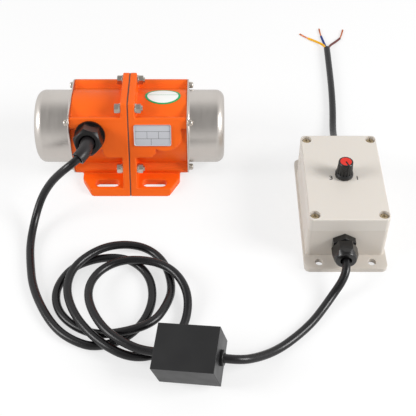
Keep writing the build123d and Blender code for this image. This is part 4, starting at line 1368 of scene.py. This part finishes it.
@dataclass
class Motor:
    """Cast motor with its steel covers, fasteners, gland, plate and label."""

    pad: PadPlane = field(default_factory=PadPlane)
    casting: Cast = field(default_factory=Cast)
    plate_centre: tuple[float, float] = (0.0222, 0.0573)
    plate_size: tuple[float, float] = (0.034, 0.020)
    plate_thickness: float = 0.0004
    plate_corner: float = 0.0016
    plate_edge: float = 0.00012
    rule: float = 0.00028
    ink_proud: float = 0.00003
    row_reach: float = 0.93
    rows: tuple[float, ...] = (0.36, -0.34)
    columns: tuple[Point, ...] = ((-0.30, 0.01, 0.35), (0.32, 0.01, 0.35), (-0.08, -0.64, 0.30))

    def housings(self) -> None:
        """The two cast halves and the gasket between them."""
        for node in ("left_housing", "right_housing"):
            self.casting.make(node, "orange_paint", ORANGE_COAT)
        dress_nodes(GREY_RUBBER, "housing_gasket")

    def covers(self) -> None:
        """Drawn covers with rolled edges."""
        for node in ("left_end_cover", "right_end_cover"):
            SHEET_EDGE.make(node, "cover_steel", DRAWN_STEEL)

    def fasteners(self) -> None:
        """Screws, bolts, nuts and washers with broken edges."""
        for node in ("cover_screws", "flange_bolts", "flange_nuts", "spring_washers"):
            FASTENER_EDGE.make(node, "plated_steel", NICKEL)

    def gland(self) -> None:
        """Cable gland on the left pad."""
        for node in ("motor_gland_body", "motor_gland_nut"):
            GLAND_EDGE.make(node, "black_nylon", MATT_NYLON)

    def plate_blank(self) -> bpy.types.Object:
        """Cut the bare plate, flat at the origin, with round corners and broken edges.

        Returns:
            The plate.
        """
        half_x, half_y, half_z = (side / 2 for side in (*self.plate_size, self.plate_thickness))
        plate = block("nameplate_blank", (half_x, half_y, half_z), (0, 0, half_z))
        with editing(plate):
            bpy.ops.mesh.select_all(action="DESELECT")
        for edge in plate.data.edges:
            ends = [plate.data.vertices[index].co for index in edge.vertices]
            edge.select = abs(ends[0].z - ends[1].z) > half_z
        with editing(plate):
            bpy.ops.mesh.select_mode(type="EDGE")
            bpy.ops.mesh.bevel(offset=self.plate_corner, segments=6, affect="EDGES")
        apply_modifier(plate, "BEVEL", width=self.plate_edge, segments=2, limit_method="ANGLE")
        paint(plate, FOIL, PLATE_INK)
        return plate

    def plate_rules(self) -> list[bpy.types.Object]:
        """Rule the plate: rows across it, and columns that stand between them.

        Returns:
            The ruled lines, whose places are shares of the plate's half-size.
        """
        half_x, half_y, thin = self.plate_size[0] / 2, self.plate_size[1] / 2, self.rule / 2
        rules = [((0.0, row * half_y), (self.row_reach * half_x, thin)) for row in self.rows]
        rules += [((x * half_x, y * half_y), (thin, reach * half_y)) for x, y, reach in self.columns]
        lines = []
        for centre, half in rules:
            line = block("rule", (*half, self.ink_proud), (*centre, self.plate_thickness))
            paint(line, FOIL, PLATE_INK)
            for face in line.data.polygons:
                face.material_index = 1
            lines.append(line)
        return lines

    def nameplate(self) -> None:
        """Lay the ruled plate on the right pad."""
        plate = self.plate_blank()
        take(plate, *self.plate_rules())
        bpy.ops.object.join()
        plate.matrix_world = self.pad.stand(*self.plate_centre)
        freeze(plate, "nameplate_finished")
        smooth(plate)
        hand_over(plate, ["nameplate"])

    def inner(self) -> None:
        """Finish what the housing holds."""
        dress_nodes(CORE_SHEETS, "stator_core", "rotor_core")
        dress_nodes(WINDING, "stator_windings")
        dress_nodes(CAST_ALUMINIUM, "rotor_cage")
        dress_nodes(GROUND_STEEL, "shaft", "shaft_keys", "weight_spacers")
        dress_nodes(GROUND_STEEL, "bearing_outer_rings", "bearing_inner_rings", "bearing_balls")
        dress_nodes(BLACK_STEEL, "bearing_circlips", "shaft_circlips")
        dress_nodes(PLATE_STEEL, "fixed_weights", "left_settable_weight", "right_settable_weight")
        dress_nodes(BLACK_STEEL, "fixed_weight_bolts", "left_settable_bolt", "right_settable_bolt")

    def build(self) -> None:
        """Make the motor from the outside in."""
        self.housings()
        self.covers()
        self.fasteners()
        self.gland()
        self.nameplate()
        dress_nodes(LABEL, "oval_label")
        self.inner()


@dataclass
class Controller:
    """Speed controller: white case, glands, knob, dial numbers and the board inside."""

    centre: tuple[float, float] = (0.1928, -0.0790)
    top: float = 0.050
    digit_height: float = 0.0068
    digit_proud: float = 0.00008
    digit_bold: float = 0.00012
    digits: tuple[tuple[str, float, float], ...] = (("3", -0.0116, -0.0031), ("1", 0.0115, -0.0033))
    cap_top: float = 0.0671
    slot_depth: float = 0.0005
    slot_dark: tuple[float, float] = (0.25, 1.2)     # depths that are dark, as shares of the slot's
    slot_half: float = 0.00076
    slot_reach: float = 0.0049
    pointer_angle: float = -70.0

    def case(self) -> None:
        """Base, lid, seal and lid screws."""
        # The base takes the darker copy of the white plastic, which is painted shade.
        CASE_EDGE.make("controller_base", "white_plastic", WHITE_PLASTIC_SHADED)
        CASE_EDGE.make("controller_lid", "white_plastic", WHITE_CASE)
        LID_SCREW_EDGE.make("lid_screws", "plated_steel", BRASSY)
        dress_nodes(GREY_RUBBER, "lid_seal")

    def glands(self) -> None:
        """Gland on the front wall and the bushing in the back wall."""
        for node in ("output_gland_body", "output_gland_nut"):
            GLAND_EDGE.make(node, "black_nylon", BLACK_NYLON)
        dress_nodes(BLACK_NYLON, "output_gland_locknut")
        SHEET_EDGE.make("supply_bushing", "black_rubber", BLACK_RUBBER)

    def knob(self) -> None:
        """Fluted knob and its cap with the dark-floored slot, which turn together, and what they stand on."""
        FASTENER_EDGE.make("control_knob", "knob_black", KNOB_BLACK, Body.KNOB)
        cap = CAP_EDGE.make("knob_cap", "knob_red", RED_CAP, Body.KNOB)
        paint(cap, RED_CAP, KNOB_BLACK)
        shallow, deep = (self.slot_depth * share for share in self.slot_dark)
        for face in cap.data.polygons:
            is_floor = shallow < self.cap_top - face.center.z < deep
            face.material_index = int(is_floor and self.in_slot(face.center))
        dress_nodes(GROUND_STEEL, "potentiometer_spindle")
        dress_nodes(NICKEL, "potentiometer", "potentiometer_nut")

    def in_slot(self, spot: Vector) -> bool:
        """Whether a point of the cap lies in the pointer's slot.

        Args:
            spot: The point.

        Returns:
            True inside the slot's outline.
        """
        angle = math.radians(self.pointer_angle)
        ahead = Vector((math.cos(angle), math.sin(angle)))
        arm = spot.xy - Vector(self.centre)
        return abs(arm.cross(ahead)) < self.slot_half and -self.slot_half < arm.dot(ahead) < self.slot_reach

    def numbers(self) -> None:
        """Plain numbers at the two ends of the dial."""
        for text, x, y in self.digits:
            clear_selection()
            bpy.ops.object.text_add(location=(self.centre[0] + x, self.centre[1] + y, self.top))
            piece = bpy.context.active_object
            piece.data.body = text
            piece.data.size = self.digit_height
            piece.data.align_x = "CENTER"
            piece.data.align_y = "CENTER"
            piece.data.extrude = self.digit_proud
            piece.data.offset = self.digit_bold
            bpy.ops.object.convert(target="MESH")
            piece = freeze(bpy.context.active_object, f"dial_number_{text}")
            paint(piece, INK)
            hand_over(piece)

    def inner(self) -> None:
        """Finish what the case holds."""
        dress_nodes(BOARD, "circuit_board")
        dress_nodes(TERMINAL, "terminal_block")
        dress_nodes(CAST_ALUMINIUM, "heat_sink")

    def build(self) -> None:
        """Make the controller."""
        self.case()
        self.glands()
        self.knob()
        self.numbers()
        self.inner()


# ---------------------------------------------------------------- studio
@dataclass(frozen=True)
class Lamp:
    """One soft round light: its name, place, width and power."""

    name: str
    place: Point
    size: float
    power: float


@dataclass
class Studio:
    """Pale floor, soft lamps and the camera."""

    camera_place: Point = (0.0728, -0.6287, 0.5876)
    camera_down: float = 46.5
    lens: float = 75.29
    sensor: float = 36.0
    target: Point = (0.06, -0.08, 0.02)
    floor_size: float = 8.0
    floor_white: float = 1.0
    floor_bounce: float = 0.68
    floor_lift: float = 0.66
    floor_roughness: float = 0.9
    sky: float = 0.42
    bright_gloss: float = 0.95
    dark_gloss: float = 0.34
    dark_side: Point = (0.0, -0.45, 0.89)
    dark_edge: tuple[float, float] = (0.45, 0.90)
    lamps: tuple[Lamp, ...] = (
        Lamp("key_lamp", (1.60, -0.55, 1.05), 0.9, 26.0),
        Lamp("fill_lamp", (-1.50, -0.50, 1.00), 0.9, 17.0),
    )

    def camera(self) -> None:
        """Set the camera."""
        data = bpy.data.cameras.new("camera")
        data.lens = self.lens
        data.sensor_width = self.sensor
        camera = put_in_scene("camera", data)
        camera.location = self.camera_place
        camera.rotation_euler = (math.radians(90 - self.camera_down), 0, 0)
        bpy.context.scene.camera = camera

    def lights(self) -> None:
        """Hang the lamps, each turned to the target."""
        for lamp in self.lamps:
            data = bpy.data.lights.new(lamp.name, "AREA")
            data.shape = "DISK"
            data.size = lamp.size
            data.energy = lamp.power
            light = put_in_scene(lamp.name, data)
            light.location = lamp.place
            aim = Vector(self.target) - Vector(lamp.place)
            light.rotation_euler = aim.to_track_quat("-Z", "Y").to_euler()

    def sky_light(self) -> None:
        """White sky, bright in reflections but for a dark patch over the front."""
        world = bpy.data.worlds.new("studio")
        bpy.context.scene.world = world
        world.use_nodes = True
        wiring = Wiring(world.node_tree)
        path = wiring.node("ShaderNodeLightPath").outputs
        toward = wiring.node("ShaderNodeVectorMath", {"operation": "DOT_PRODUCT"})
        direction = wiring.node("ShaderNodeTexCoord").outputs["Generated"]
        wiring.plug_all(toward, {0: direction, 1: self.dark_side})
        gloss = wiring.spread(toward.outputs["Value"], self.bright_gloss, self.dark_gloss, *self.dark_edge)
        seen = wiring.spread(path["Is Glossy Ray"], self.sky, gloss, 0.0, 1.0)
        level = wiring.spread(path["Is Camera Ray"], seen, 1.0, 0.0, 1.0)
        background = world.node_tree.nodes["Background"].inputs
        wiring.plug(background["Strength"], level)
        wiring.plug(background["Color"], (1, 1, 1, 1))

    def floor(self) -> None:
        """White floor that keeps the object's shadow."""
        clear_selection()
        bpy.ops.mesh.primitive_plane_add(size=self.floor_size)
        floor = bpy.context.active_object
        floor.name = "studio_floor"
        mixer = Mixer("studio_floor")
        path = mixer.node("ShaderNodeLightPath").outputs
        tone = mixer.spread(path["Is Camera Ray"], self.floor_bounce, self.floor_white, 0.0, 1.0)
        mixer.set(Base_Color=tone, Roughness=self.floor_roughness)
        seen = mixer.combine(path["Is Camera Ray"], Operation.MAXIMUM, path["Is Glossy Ray"])
        share = mixer.combine(seen, Operation.MULTIPLY, self.floor_lift)
        glow = mixer.node("ShaderNodeEmission").outputs[0]
        mix = mixer.node("ShaderNodeMixShader")
        mixer.plug_all(mix, {0: share, 1: mixer.shader.outputs[0], 2: glow})
        mixer.plug(mixer.tree.nodes["Material Output"].inputs["Surface"], mix.outputs[0])
        floor.data.materials.append(mixer.material)

    def build(self) -> None:
        """Set up the whole studio."""
        self.camera()
        self.lights()
        self.sky_light()
        self.floor()
        bpy.context.scene.view_settings.view_transform = "Standard"


def main() -> None:
    """Build every sub-assembly in order."""
    logging.basicConfig(level=logging.INFO, format="%(name)s: %(message)s")
    Studio().build()
    box = CapacitorBox()
    Leads(box).build(box.build(), SupplyCores().build())
    Motor().build()
    Controller().build()
    clear_selection()
    bpy.context.view_layer.update()


if __name__ == "__main__":
    main()
